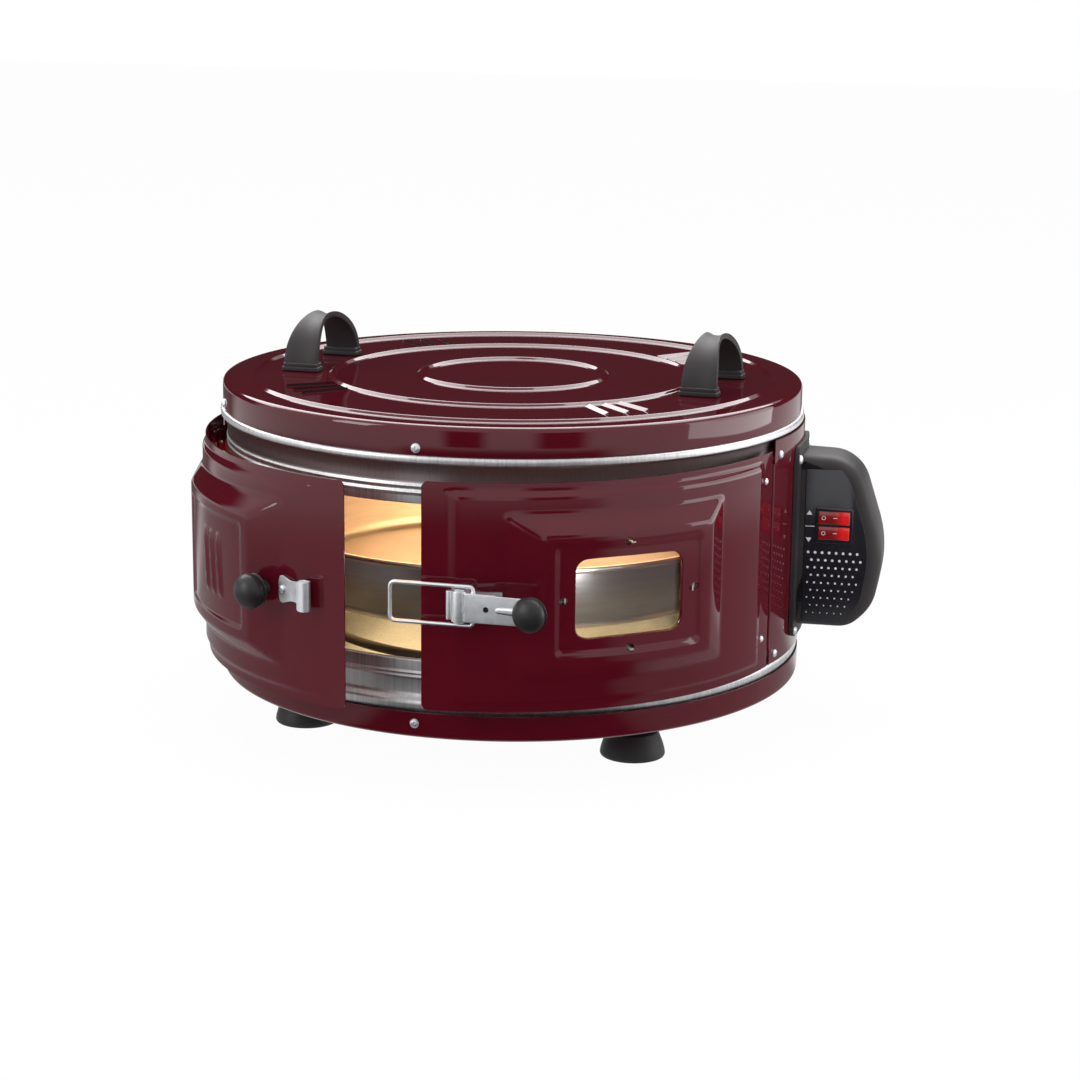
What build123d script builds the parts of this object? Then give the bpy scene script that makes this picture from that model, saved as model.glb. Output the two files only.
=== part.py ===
"""Electric drum oven: an enamelled round body with two curved front doors, a lid and a control box.

Millimetres, +Z up. The origin is on the drum's axis at the height that the feet stand on.
The front is -Y. An azimuth is counted in degrees from the front, positive towards +X.
"""
import os
from math import asin, atan2, cos, degrees, hypot, radians, sin

from build123d import *

# Heights of the body, from the surface that the feet stand on
pan_bottom = 34.0
skirt_top = 53.0
lower_bead_top = 61.0
sill_height = 94.0
lintel_height = 201.0
upper_bead_bottom = 230.6
lid_bottom = 236.0
lid_top = 257.0

# Radii and sheet thicknesses of the body
drum_radius = 217.0
liner_radius = 212.8
bead_radius = 222.0
shell_radius = 223.0
skirt_radius = 222.8
lid_radius = 220.0
sheet = 1.0
thin_sheet = 0.8
fit_gap = 0.3

# Doors, measured along the drum
hinge_azimuth = 75.4
meeting_azimuth = -1.0
door_bottom = 61.6
door_top = 223.0
door_gap = 1.5
right_door_ajar = 5.0
left_door_open = 10.5
field_rise = 2.3
boss_rise = 9.0
free_margin_angle = 5.6
hinge_margin_angle = 4.2
edge_margin = 5.5
side_slope_angle = 2.2
boss_slope_angle = 5.6
boss_slope_height = 12.0
boss_near_angle = 18.6
boss_far_angle = 61.4
left_boss_far_angle = 59.6
left_boss_far_slope = 9.2
boss_low = 84.0
boss_high = 202.0
frame_inset_angle = 2.4
frame_inset_height = 7.5
frame_depth = 1.6

# Window in the right door
window_angle = 39.6
window_height = 143.5
window_width = 82.0
window_tall = 57.0
window_corner = 9.0
glass_thickness = 3.0
tab_hole_reach = 49.0
tab_hole_rise = 38.0
tab_hole_radius = 2.6

# Hinges
pin_radius = 0.8
pin_clearance = 0.06
knuckle_radius = 1.5
knuckle_count = 5
leaf_thickness = 0.8
leaf_width = 19.0
hinge_low = 74.0
hinge_high = 212.0
rivet_angle = 2.7
rivet_radius = 2.4
rivet_shank = 1.2
rivet_hole = 1.5

# Latch
latch_height = 140.0
latch_angle = 69.2
latch_stand_off = 7.6
lever_tilt = 10.0
lever_length = 48.5
lever_width = 20.0
lever_depth = 7.0
barrel_radius = 5.4
ear_thickness = 1.4
bail_pivot_reach = 9.4
bail_wire = 2.4
bail_length = 60.8
bail_half_height = 13.2
latch_pin_radius = 2.0
lever_knob_radius = 12.0
catch_width = 21.0
catch_seat_azimuth = -6.51
catch_seat_drop = 1.7
catch_screw_azimuth = -14.4
door_knob_azimuth = -17.9
door_knob_radius = 12.5
door_knob_stand_off = 21.0

# Lid
ring_bead_radii = (70.0, 137.0, 197.0)
ring_bead_width = 9.0
ring_bead_rise = 1.6
lid_edge_round = 3.0
louvre_azimuths = (45.0, 135.0, 225.0, 315.0)
louvre_spacing = 5.3
louvre_inner = 143.0
louvre_outer = 180.0
louvre_width = 5.0
louvre_rise = 2.6
handle_reach = 156.0
handle_width = 29.0
handle_half_length = 48.0
handle_height = 40.0
handle_thickness = 7.0
handle_foot = 12.0
handle_flange = 3.0
lid_screw_azimuths = (0.0, -60.0, 120.0, 180.0)
lid_screw_height = 241.0

# Base and feet
base_screw_azimuths = (0.0, 120.0, 240.0)
base_screw_height = 45.0
foot_circle_radius = 167.0
foot_azimuths = (50.0, 130.0, 230.0, 310.0)
foot_base_radius = 24.0
foot_collar_radius = 17.0
foot_height = pan_bottom
body_screw_heights = (68.4, 218.2)
body_screw_azimuth = 78.3

# Inside of the drum
element_radius = 3.5
element_ring_radius = 150.0
element_riser_radius = 202.0
upper_element_height = 216.0
lower_element_height = 72.0
upper_exit_height = 194.0
lower_exit_height = 101.0
element_gap_angle = 14.0
clip_azimuths = (30.0, 150.0, 270.0)
ceiling_height = 228.0
floor_height = 52.0
stand_ring_radius = 150.0
stand_strip = 8.0
stand_top = 100.9
stand_leg_azimuths = (20.0, 80.0, 140.0, 200.0, 260.0, 320.0)
tray_bottom_radius = 176.0
tray_rim_radius = 190.0
tray_bottom = 101.0
tray_rim = 150.0
tray_roll = 2.2

# Control box, in its own radial direction
box_azimuth = 96.0
box_half_width = 31.0
box_low = 82.0
box_high = 217.0
box_reach = 289.0
box_wall = 2.2
flange_half_width = 38.2
flange_low = 72.0
flange_high = 218.5
flange_thickness = 3.2
flange_corner = 8.0
flange_screw_offset = 33.9
flange_pocket_radius = 4.2
flange_screw_heights = (77.5, 208.0)
label_thickness = 0.6
label_low = 85.0
label_high = 203.0
switch_reach = 250.4
switch_height = 159.0
switch_width = 27.6
switch_tall = 27.0
switch_rim = 1.6
rocker_width = 23.4
rocker_tall = 10.0
rocker_pitch = 11.6
rocker_tilt = 8.0
rocker_pivot_depth = 5.0
rocker_pin_radius = 1.5
gland_reach = 251.0
screw_head_radius = 3.4
screw_head_height = 2.0


def at_azimuth(shape, azimuth):
    """Turn a shape that was made at the front to its azimuth."""
    return Rot(0, 0, azimuth) * shape


def polar(radius, azimuth):
    """Plan position of a point at a radius and azimuth."""
    return radius * sin(radians(azimuth)), -radius * cos(radians(azimuth))


def ring_of(points, azimuth_from=None, azimuth_to=None):
    """Solid that an outline of (radius, height) points sweeps round the drum's axis."""
    face = Plane.XZ * make_face(Polyline(*[(r, z) for r, z in points], close=True))
    if azimuth_from is None:
        return revolve(face, Axis.Z, 360)
    swept = revolve(face, Axis.Z, azimuth_to - azimuth_from)
    return Rot(0, 0, azimuth_from - 90) * swept


def sheet_ring(radius, low, high, thickness, azimuth_from=None, azimuth_to=None):
    """Cylindrical sheet whose outer face has the given radius."""
    inner = radius - thickness
    outline = [(inner, low), (radius, low), (radius, high), (inner, high)]
    return ring_of(outline, azimuth_from, azimuth_to)


def disc(radius, low, high, hole=0.0):
    """Flat round plate."""
    plate = Pos(0, 0, (low + high) / 2) * Cylinder(radius, high - low)
    if hole:
        plate -= Pos(0, 0, (low + high) / 2) * Cylinder(hole, high - low + 2)
    return plate


def radial_rod(radius, inner, outer, azimuth, height):
    """Round bar that points away from the drum's axis."""
    bar = Pos(0, -(inner + outer) / 2, height) * Rot(90, 0, 0) * Cylinder(radius, outer - inner)
    return at_azimuth(bar, azimuth)


def screw_head(seat_radius, azimuth, height, head=screw_head_radius, rise=screw_head_height):
    """Pan head with a cross recess, seated on a face at seat_radius, on a short shank."""
    profile = make_face(
        Polyline((0, -4), (1.6, -4), (1.6, 0), (head, 0), (head, rise * 0.35))
        + ThreePointArc((head, rise * 0.35), (head * 0.75, rise * 0.85), (0, rise))
        + Line((0, rise), (0, -4))
    )
    body = revolve(Plane.XZ * profile, Axis.Z, 360)
    recess_depth = rise * 0.5
    for turn in (0, 90):
        body -= Pos(0, 0, rise) * Rot(0, 0, turn) * Box(head * 1.1, 0.8, recess_depth * 2)
    seated = Pos(0, -seat_radius, height) * Rot(90, 0, 0) * body
    return at_azimuth(seated, azimuth)


def shank_hole(seat_radius, azimuth, height):
    """Clearance hole for a screw's shank."""
    return radial_rod(1.8, seat_radius - 6, seat_radius + 6, azimuth, height)


# Lid


def lid_shell():
    """Enamelled lid: a pressed disc with three ring beads, louvres and a skirt."""
    outline = [(0, lid_top - sheet), (0, lid_top)]
    half = ring_bead_width / 2
    for bead in ring_bead_radii:
        outline += [(bead - half, lid_top), (bead - half * 0.45, lid_top + ring_bead_rise)]
        outline += [(bead + half * 0.45, lid_top + ring_bead_rise), (bead + half, lid_top)]
    edge = lid_edge_round
    outline += [(lid_radius - edge, lid_top), (lid_radius - edge * 0.3, lid_top - edge * 0.3)]
    outline += [(lid_radius, lid_top - edge), (lid_radius, lid_bottom)]
    outline += [(lid_radius - sheet, lid_bottom), (lid_radius - sheet, lid_top - edge)]
    outline += [(lid_radius - edge, lid_top - sheet)]
    for bead in reversed(ring_bead_radii):
        outline += [(bead + half, lid_top - sheet)]
        outline += [(bead + half * 0.45, lid_top + ring_bead_rise - sheet)]
        outline += [(bead - half * 0.45, lid_top + ring_bead_rise - sheet)]
        outline += [(bead - half, lid_top - sheet)]
    lid = ring_of(outline)
    for azimuth in lid_screw_azimuths:
        lid -= shank_hole(lid_radius, azimuth, lid_screw_height)
    for azimuth in louvre_places():
        lid -= at_azimuth(louvre_slot(), azimuth)
        lid += at_azimuth(louvre_hood(), azimuth)
    for azimuth in (90, -90):
        for side in (-1, 1):
            lid -= at_azimuth(handle_screw_hole(side), azimuth)
    return lid


def louvre_places():
    """Azimuths of all the louvres, three in each group."""
    steps = (-louvre_spacing, 0.0, louvre_spacing)
    return [group + step for group in louvre_azimuths for step in steps]


def louvre_slot():
    """Opening under one louvre, made at the front."""
    length = louvre_outer - louvre_inner
    middle = -(louvre_outer + louvre_inner) / 2
    return Pos(0, middle, lid_top) * Box(louvre_width, length, 4)


def louvre_hood():
    """Raised lip over one louvre: a quarter-round strip that opens to one side."""
    half = louvre_width / 2
    top = lid_top + louvre_rise
    wall = thin_sheet
    outline = make_face(
        ThreePointArc((-half, lid_top - sheet), (-half * 0.7, top - wall), (half, top))
        + Line((half, top), (half, top - wall))
        + ThreePointArc((half, top - wall), (-half * 0.35, top - 2 * wall), (-half + wall, lid_top - sheet))
        + Line((-half + wall, lid_top - sheet), (-half, lid_top - sheet))
    )
    length = louvre_outer - louvre_inner
    return Pos(0, -louvre_inner, 0) * extrude(Plane.XZ * outline, length)


def handle_screw_place(side):
    """Distance along the lid from the handle's middle to one of its screws."""
    return side * (handle_half_length - handle_foot / 2)


def handle_screw_hole(side):
    """Hole in the lid for a handle screw, made at the front."""
    return Pos(handle_screw_place(side), -handle_reach, lid_top) * Cylinder(2.2, 8)


def lid_handle(azimuth):
    """Plastic carrying handle: an arched strap with a flanged foot at each end."""
    half = handle_half_length
    rise = handle_height
    thick = handle_thickness
    seat = lid_top + fit_gap
    outer = Spline(
        (-half + 3, seat), (-half * 0.80, seat + rise * 0.55), (-half * 0.42, seat + rise * 0.93),
        (0, seat + rise), (half * 0.42, seat + rise * 0.93), (half * 0.80, seat + rise * 0.55),
        (half - 3, seat),
    )
    inner = Spline(
        (half - handle_foot, seat), (half * 0.58, seat + rise * 0.5),
        (half * 0.34, seat + rise - thick - 4), (0, seat + rise - thick),
        (-half * 0.34, seat + rise - thick - 4), (-half * 0.58, seat + rise * 0.5),
        (-half + handle_foot, seat),
    )
    outline = make_face(
        outer + Line((half - 3, seat), (half - handle_foot, seat)) + inner
        + Line((-half + handle_foot, seat), (-half + 3, seat))
    )
    strap = Pos(0, handle_width / 2, 0) * extrude(Plane.XZ * outline, handle_width)
    long_edges = [e for e in strap.edges().filter_by(GeomType.BSPLINE) if e.length > handle_half_length]
    strap = fillet(long_edges, 2.4)
    body = Pos(0, -handle_reach, 0) * strap
    for side in (-1, 1):
        middle = side * (half - handle_foot / 2 + 1.0)
        foot = Pos(middle, -handle_reach, seat + handle_flange / 2)
        body += foot * Box(handle_foot + 3, handle_width + 3, handle_flange)
        pocket = Pos(handle_screw_place(side), -handle_reach, seat)
        body -= pocket * Cylinder(1.7, 16)
    return at_azimuth(body, azimuth)


def handle_screws():
    """Screws that hold the handles, from under the lid."""
    group = []
    for azimuth in (90, -90):
        for side in (-1, 1):
            place = Pos(handle_screw_place(side), -handle_reach, lid_top - sheet - 1.0)
            head = place * Cylinder(4.0, 2.0)
            shank = Pos(handle_screw_place(side), -handle_reach, lid_top + 3.5) * Cylinder(1.6, 9.0)
            group.append(at_azimuth(head + shank, azimuth))
    return Compound(children=group)


def skirt_screws(azimuths, radius, height):
    """Row of screws round a skirt, one solid each."""
    return Compound(children=[screw_head(radius, azimuth, height) for azimuth in azimuths])


# Drum


def upper_ring():
    """Galvanised upper end ring: a lintel with two small beads, a neck and the rolled bead."""
    wall = drum_radius
    low = lintel_height
    outline = [
        (wall - 4, low), (wall - 1, low), (wall, low + 1.5), (wall, low + 7), (wall + 1.2, low + 8.5),
        (wall, low + 10), (wall, low + 12), (wall + 1.2, low + 13.5), (wall, low + 15),
        (wall, upper_bead_bottom - 9), (wall + 0.8, upper_bead_bottom - 3), (bead_radius - 1.2, upper_bead_bottom),
        (bead_radius, upper_bead_bottom + 1.5), (bead_radius, lid_bottom - 1.6), (bead_radius - 1.4, lid_bottom - 0.2),
        (wall + 1.6, lid_bottom - 0.2), (wall + 1.6, lid_bottom + 12), (wall + 0.8, lid_bottom + 12),
        (wall + 0.8, lid_bottom - 1.0), (bead_radius - 2.0, lid_bottom - 1.4), (bead_radius - 1.0, lid_bottom - 2.4),
        (bead_radius - 1.0, upper_bead_bottom + 1.8), (wall, upper_bead_bottom - 2.4),
        (wall - 0.8, upper_bead_bottom - 8.6), (wall - 0.8, low + 1.6), (wall - 1.4, low + 0.8), (wall - 4, low + 0.8),
    ]
    ring = ring_of(outline)
    for azimuth in lid_screw_azimuths:
        ring -= shank_hole(lid_radius, azimuth, lid_screw_height)
    return ring


def lower_ring():
    """Galvanised lower end ring: the sill, two small beads and the rolled bead above the skirt."""
    wall = drum_radius
    top = sill_height
    outline = [
        (wall - 4, top), (wall - 1, top), (wall, top - 1.5), (wall, top - 12), (wall + 1.2, top - 13.5),
        (wall, top - 15), (wall, top - 17), (wall + 1.2, top - 18.5), (wall, top - 20),
        (wall, lower_bead_top + 3), (bead_radius - 1.6, lower_bead_top), (bead_radius, lower_bead_top - 1.6),
        (bead_radius, skirt_top + 1.6), (bead_radius - 1.4, skirt_top + 0.2), (wall + 1.6, skirt_top + 0.2),
        (wall + 1.6, pan_bottom + 3), (wall + 0.8, pan_bottom + 3), (wall + 0.8, skirt_top + 1.0),
        (bead_radius - 2.0, skirt_top + 1.4), (bead_radius - 1.0, skirt_top + 2.4),
        (bead_radius - 1.0, lower_bead_top - 2.0), (bead_radius - 2.0, lower_bead_top - 0.8),
        (wall - 0.8, lower_bead_top + 2.2), (wall - 0.8, top - 1.6), (wall - 1.4, top - 0.8), (wall - 4, top - 0.8),
    ]
    ring = ring_of(outline)
    for azimuth in base_screw_azimuths:
        ring -= shank_hole(skirt_radius, azimuth, base_screw_height)
    return ring


def drum_wall():
    """Inner galvanised wall behind the cavity, open at the front between the hinges."""
    start = hinge_azimuth + 1.5
    wall = sheet_ring(liner_radius, floor_height + 1, ceiling_height + 5, thin_sheet, start, 360 - start)
    for height in (upper_exit_height, lower_exit_height):
        for side in (-1, 1):
            wall -= radial_rod(5.2, liner_radius - 8, liner_radius + 8, element_exit(side), height)
    return wall


def side_wall():
    """Enamelled outer wall from hinge to hinge round the back, its front edges folded in."""
    start = hinge_azimuth + degrees((door_gap / 2 + knuckle_radius) / shell_radius)
    low = lower_bead_top + 0.6
    high = upper_bead_bottom - 0.6
    wall = sheet_ring(shell_radius, low, high, sheet, start, 360 - start)
    fold = degrees(sheet / shell_radius)
    inner = liner_radius + fit_gap
    jamb_low = sill_height + fit_gap
    jamb_high = lintel_height - fit_gap
    for edge in (start + 4.6, 360 - start - 4.6 - fold):
        outline = [(inner, jamb_low), (shell_radius - 0.5, jamb_low)]
        outline += [(shell_radius - 0.5, jamb_high), (inner, jamb_high)]
        wall += ring_of(outline, edge, edge + fold)
    for side in (-1, 1):
        for height in body_screw_heights:
            wall -= shank_hole(shell_radius, side * body_screw_azimuth, height)
    for height in (upper_exit_height, lower_exit_height):
        for side in (-1, 1):
            wall -= radial_rod(5.2, shell_radius - 8, shell_radius + 8, element_exit(side), height)
    for side in (-1, 1):
        for height in flange_screw_heights:
            wall -= shank_hole(shell_radius, box_azimuth + side * flange_screw_turn(), height)
    return wall


def ceiling_plate():
    """Reflector plate above the cavity, with a turned-down rim."""
    radius = liner_radius - thin_sheet - fit_gap
    plate = disc(radius, ceiling_height, ceiling_height + thin_sheet)
    rim = sheet_ring(radius, ceiling_height + thin_sheet, ceiling_height + 6, thin_sheet)
    dish = sheet_ring(radius - 40, ceiling_height - 2, ceiling_height, thin_sheet)
    return plate + rim + dish


def floor_plate():
    """Cavity floor with a turned-down rim that stands on the base pan."""
    radius = liner_radius - thin_sheet - fit_gap
    plate = disc(radius, floor_height - thin_sheet, floor_height)
    rim = sheet_ring(radius, pan_bottom + sheet, floor_height - thin_sheet, thin_sheet)
    return plate + rim


def base_pan():
    """Enamelled base: a shallow pan with a rounded lower edge."""
    edge = 3.0
    top = skirt_top
    outline = [
        (0, pan_bottom), (skirt_radius - edge, pan_bottom), (skirt_radius - edge * 0.3, pan_bottom + edge * 0.3),
        (skirt_radius, pan_bottom + edge), (skirt_radius, top), (skirt_radius - sheet, top),
        (skirt_radius - sheet, pan_bottom + edge), (skirt_radius - edge, pan_bottom + sheet), (0, pan_bottom + sheet),
    ]
    pan = ring_of(outline)
    for azimuth in base_screw_azimuths:
        pan -= shank_hole(skirt_radius, azimuth, base_screw_height)
    for azimuth in foot_azimuths:
        x, y = polar(foot_circle_radius, azimuth)
        pan -= Pos(x, y, pan_bottom) * Cylinder(2.6, 6)
    for index in range(12):
        x, y = polar(90, index * 30)
        pan -= Pos(x, y, pan_bottom) * Rot(0, 0, index * 30) * Box(3.5, 40, 6)
    return pan


def rubber_foot(azimuth):
    """Bell-shaped foot with a collar and a recess for its screw."""
    top = pan_bottom
    profile = make_face(
        Polyline((3.0, 6.0), (8.0, 6.0), (8.0, 0.0), (foot_base_radius - 1.0, 0.0), (foot_base_radius, 1.6))
        + ThreePointArc((foot_base_radius, 1.6), (foot_base_radius - 2.0, 13.0), (foot_collar_radius + 1.0, 19.0))
        + Polyline(
            (foot_collar_radius + 1.0, 19.0), (foot_collar_radius - 1.0, 19.8), (foot_collar_radius - 1.0, 21.2),
            (foot_collar_radius + 0.6, 22.0), (foot_collar_radius, top), (3.0, top), (3.0, 6.0),
        )
    )
    foot = revolve(Plane.XZ * profile, Axis.Z, 360)
    x, y = polar(foot_circle_radius, azimuth)
    return Pos(x, y, 0) * foot


def foot_screws():
    """Screws that hold the feet to the base pan."""
    group = []
    for azimuth in foot_azimuths:
        x, y = polar(foot_circle_radius, azimuth)
        head = Pos(x, y, 4.6) * Cylinder(5.0, 2.8)
        shank = Pos(x, y, (6.0 + pan_bottom + 6) / 2) * Cylinder(2.3, pan_bottom)
        nut = Pos(x, y, pan_bottom + sheet + 2.0) * extrude(RegularPolygon(4.6, 6), 4.0 / 2, both=True)
        group.append(head + shank + nut)
    return Compound(children=group)


# Heating


def element_exit(side):
    """Azimuth at which one end of a heating element leaves the drum."""
    return box_azimuth + side * element_gap_angle / 4


def heating_element(height, exit_height):
    """Tubular element: an open ring whose two ends step up or down and run out through the wall."""
    first = box_azimuth + element_gap_angle / 2
    last = box_azimuth + 360 - element_gap_angle / 2
    places = [polar(element_ring_radius, a) for a in (first, box_azimuth + 180, last)]
    start, middle, end = [(x, y, height) for x, y in places]
    section = Plane(origin=start, z_dir=ThreePointArc(start, middle, end) % 0) * Circle(element_radius)
    solid = sweep(section, path=ThreePointArc(start, middle, end))
    for corner, side in ((start, 1), (end, -1)):
        rise_x, rise_y = polar(element_riser_radius, element_exit(side))
        out_x, out_y = polar(drum_radius + 18, element_exit(side))
        stops = [corner, (rise_x, rise_y, height), (rise_x, rise_y, exit_height), (out_x, out_y, exit_height)]
        for near, far in zip(stops, stops[1:]):
            solid += straight_tube(near, far)
        for stop in stops[:3]:
            solid += Pos(*stop) * Sphere(element_radius)
    return solid


def straight_tube(near, far):
    """Straight tube of the elements' size between two points."""
    line = Line(near, far)
    return sweep(Plane(origin=line @ 0, z_dir=line % 0) * Circle(element_radius), path=line)


def terminals(height):
    """Threaded studs and ceramic collars on the ends of an element."""
    group = []
    for side in (-1, 1):
        start = drum_radius + 18
        stud = radial_rod(2.0, start, start + 8, element_exit(side), height)
        collar = radial_rod(4.6, drum_radius + 7, drum_radius + 13, element_exit(side), height)
        collar -= radial_rod(element_radius + 0.05, drum_radius, drum_radius + 20, element_exit(side), height)
        group += [stud, collar]
    return Compound(children=group)


def element_clips(height, plate_height):
    """Sheet clips that hold an element to the ceiling or the floor."""
    group = []
    up = plate_height > height
    for azimuth in clip_azimuths:
        x, y = polar(element_ring_radius, azimuth)
        hook = Cylinder(element_radius + 1.1, 7.0) - Cylinder(element_radius + 0.1, 8.0)
        hook = Rot(0, 90, 0) * hook
        near = height + element_radius + 0.6 if up else height - element_radius - 0.6
        low, high = min(near, plate_height), max(near, plate_height)
        post = Pos(0, 0, (low + high) / 2) * Box(7.0, 1.2, high - low)
        clip = Pos(0, 0, height) * hook + post
        group.append(Pos(x, y, 0) * Rot(0, 0, azimuth) * clip)
    return Compound(children=group)


# Tray


def tray_stand():
    """Flat ring on six bent legs that carries the baking tray."""
    half = stand_strip / 2
    outline = [
        (stand_ring_radius - half, stand_top - 1.5), (stand_ring_radius + half, stand_top - 1.5),
        (stand_ring_radius + half, stand_top), (stand_ring_radius - half, stand_top),
    ]
    stand = ring_of(outline)
    for azimuth in stand_leg_azimuths:
        leg_height = stand_top - 1.0 - floor_height
        leg = Pos(0, -stand_ring_radius - half - 0.75, floor_height + leg_height / 2) * Box(9.0, 1.5, leg_height)
        foot = Pos(0, -stand_ring_radius - half - 6, floor_height + 0.75) * Box(9.0, 12.0, 1.5)
        tab = Pos(0, -stand_ring_radius - half + 1, stand_top - 0.75) * Box(9.0, 5.0, 1.5)
        stand += at_azimuth(leg + foot + tab, azimuth)
    return stand


def baking_tray():
    """Round tray with tapered sides and a rolled rim."""
    wall = 1.0
    outline = [
        (0, tray_bottom), (tray_bottom_radius - 6, tray_bottom), (tray_bottom_radius - 1.6, tray_bottom + 1.6),
        (tray_bottom_radius, tray_bottom + 6), (tray_rim_radius - tray_roll, tray_rim - tray_roll),
        (tray_rim_radius, tray_rim - tray_roll * 0.6), (tray_rim_radius + 0.6, tray_rim),
        (tray_rim_radius - 1.4, tray_rim + 1.2), (tray_rim_radius - tray_roll - wall, tray_rim + 0.2),
        (tray_bottom_radius - wall, tray_bottom + 6.4), (tray_bottom_radius - 2.4, tray_bottom + 2.8),
        (tray_bottom_radius - 6, tray_bottom + wall), (0, tray_bottom + wall),
    ]
    return ring_of(outline)


# Doors, made closed for the right side; the left one is mirrored


def polar_outline(inner, points):
    """Plan face bounded by an inner arc and by outer points of (radius, azimuth)."""
    start = points[0][1]
    end = points[-1][1]
    lines = []
    for (r0, a0), (r1, a1) in zip(points, points[1:]):
        if abs(r0 - r1) < 1e-6:
            middle = polar(r0, (a0 + a1) / 2)
            lines.append(ThreePointArc(polar(r0, a0), middle, polar(r1, a1)))
        else:
            lines.append(Line(polar(r0, a0), polar(r1, a1)))
    lines.append(Line(polar(points[-1][0], end), polar(inner, end)))
    lines.append(ThreePointArc(polar(inner, end), polar(inner, (start + end) / 2), polar(inner, start)))
    lines.append(Line(polar(inner, start), polar(points[0][0], start)))
    return make_face(lines)


def pad(base, rise, near, far, low, high, side_slope, height_slope, inset=0.0):
    """Raised field with sloped edges, from inside the drum out to base + rise."""
    inner = base - 14
    outer = base + rise - inset
    foot = base - inset
    shift = degrees(inset / base) * 0.6
    a0, a1 = near + shift, far - shift
    first, last = side_slope
    plan = polar_outline(inner, [(foot, a0), (outer, a0 + first), (outer, a1 - last), (foot, a1)])
    prism = Pos(0, 0, low) * extrude(plan, high - low)
    z0, z1 = low + inset * 0.6, high - inset * 0.6
    rim = [(inner, z0), (foot, z0), (outer, z0 + height_slope), (outer, z1 - height_slope), (foot, z1), (inner, z1)]
    return prism & ring_of(rim, near - 2, far + 2)


def door_form(side, inset):
    """Filled form of one door down to well inside the drum; inset takes off the sheet."""
    hinge = hinge_azimuth
    near = door_start()
    far = hinge - side * meeting_azimuth - degrees(door_gap / 2 / shell_radius)
    base = shell_radius
    form = sheet_ring(base - inset, door_bottom, door_top, 14 - inset, hinge - far, hinge - near)
    field_low, field_high = door_bottom + edge_margin, door_top - edge_margin
    form += pad(base, field_rise, hinge - far + free_margin_angle, hinge - near - hinge_margin_angle,
                field_low, field_high, (side_slope_angle, side_slope_angle), 2.6, inset)
    boss_end = boss_far_angle if side > 0 else left_boss_far_angle
    free_slope = boss_slope_angle if side > 0 else left_boss_far_slope
    form += pad(base + field_rise, boss_rise, hinge - boss_end, hinge - boss_near_angle,
                boss_low, boss_high, (free_slope, boss_slope_angle), boss_slope_height, inset)
    near, far = boss_end - free_slope - frame_inset_angle, boss_near_angle + boss_slope_angle + frame_inset_angle
    grow = degrees(inset / base)
    low = boss_low + boss_slope_height + frame_inset_height - inset
    high = boss_high - boss_slope_height - frame_inset_height + inset
    floor = boss_face_radius() - frame_depth - inset
    return form - sheet_ring(floor + 8, low, high, 8, hinge - near - grow, hinge - far + grow)


def door_start():
    """Angle from the hinge line to the door's hinge edge."""
    return degrees((door_gap / 2 + knuckle_radius) / shell_radius)


def door_sheet(side):
    """Pressed door sheet with its raised field, boss and recessed frame."""
    inner_cut = door_form(side, sheet)
    skin = door_form(side, 0.0) - inner_cut
    skin &= ring_of(door_band(), -20, 100)
    return skin


def door_band():
    """Outline that keeps only the sheet's own depth of a door form."""
    return [
        (shell_radius - sheet, door_bottom), (shell_radius + 20, door_bottom),
        (shell_radius + 20, door_top), (shell_radius - sheet, door_top),
    ]


def boss_face_radius():
    """Radius of the boss's outer face."""
    return shell_radius + field_rise + boss_rise


def window_azimuth():
    """Azimuth of the window's middle with the door closed."""
    return hinge_azimuth - window_angle


def left_form(inset):
    """Filled form of the left door in its own place."""
    return mirror(door_form(-1, inset), Plane.YZ)


def right_door_panel():
    """Right door: the pressed sheet with a window, tab holes and rivet holes."""
    panel = door_sheet(1)
    window = Pos(0, -boss_face_radius(), window_height) * Rot(90, 0, 0)
    opening = window * extrude(RectangleRounded(window_width, window_tall, window_corner), 20, both=True)
    panel -= at_azimuth(opening, window_azimuth())
    for along, up in ((-1, 0), (1, 0), (0, 1), (0, -1)):
        azimuth = window_azimuth() + along * degrees(tab_hole_reach / boss_face_radius())
        panel -= radial_rod(tab_hole_radius, boss_face_radius() - 8, boss_face_radius() + 4,
                            azimuth, window_height + up * tab_hole_rise)
    for height in rivet_heights():
        panel -= radial_rod(rivet_hole, shell_radius - 6, shell_radius + 6, hinge_azimuth - rivet_place(), height)
    for height in latch_rivet_heights():
        panel -= radial_rod(rivet_hole, shell_radius - 6, shell_radius + 6, latch_rivet_azimuth(), height)
    return panel


def left_door_panel():
    """Left door: the pressed sheet with three slanted ribs in its boss."""
    panel = mirror(door_sheet(-1), Plane.YZ)
    for offset in (-1, 0, 1):
        azimuth = -(hinge_azimuth - (boss_near_angle + boss_far_angle) / 2) + offset * 2.6
        rib = Pos(0, -boss_face_radius(), window_height + 6) * Rot(90, 0, 0)
        panel += at_azimuth(rib * extrude(SlotOverall(46, 4.5, rotation=78), 1.4, both=True), azimuth)
    for height in rivet_heights():
        panel -= radial_rod(rivet_hole, shell_radius - 6, shell_radius + 6, -(hinge_azimuth - rivet_place()), height)
    seat = door_surface()
    panel -= radial_rod(1.7, seat - 6, seat + 6, catch_screw_azimuth, latch_height)
    panel -= radial_rod(1.8, seat - 6, seat + 8, door_knob_azimuth, latch_height)
    return panel


def door_surface():
    """Radius of the doors' raised field."""
    return shell_radius + field_rise


def rivet_place():
    """Angle from the hinge line to the door rivets."""
    return rivet_angle + door_start()


def rivet_heights():
    """Heights of the door rivets."""
    return (85.0, 202.5)


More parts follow.
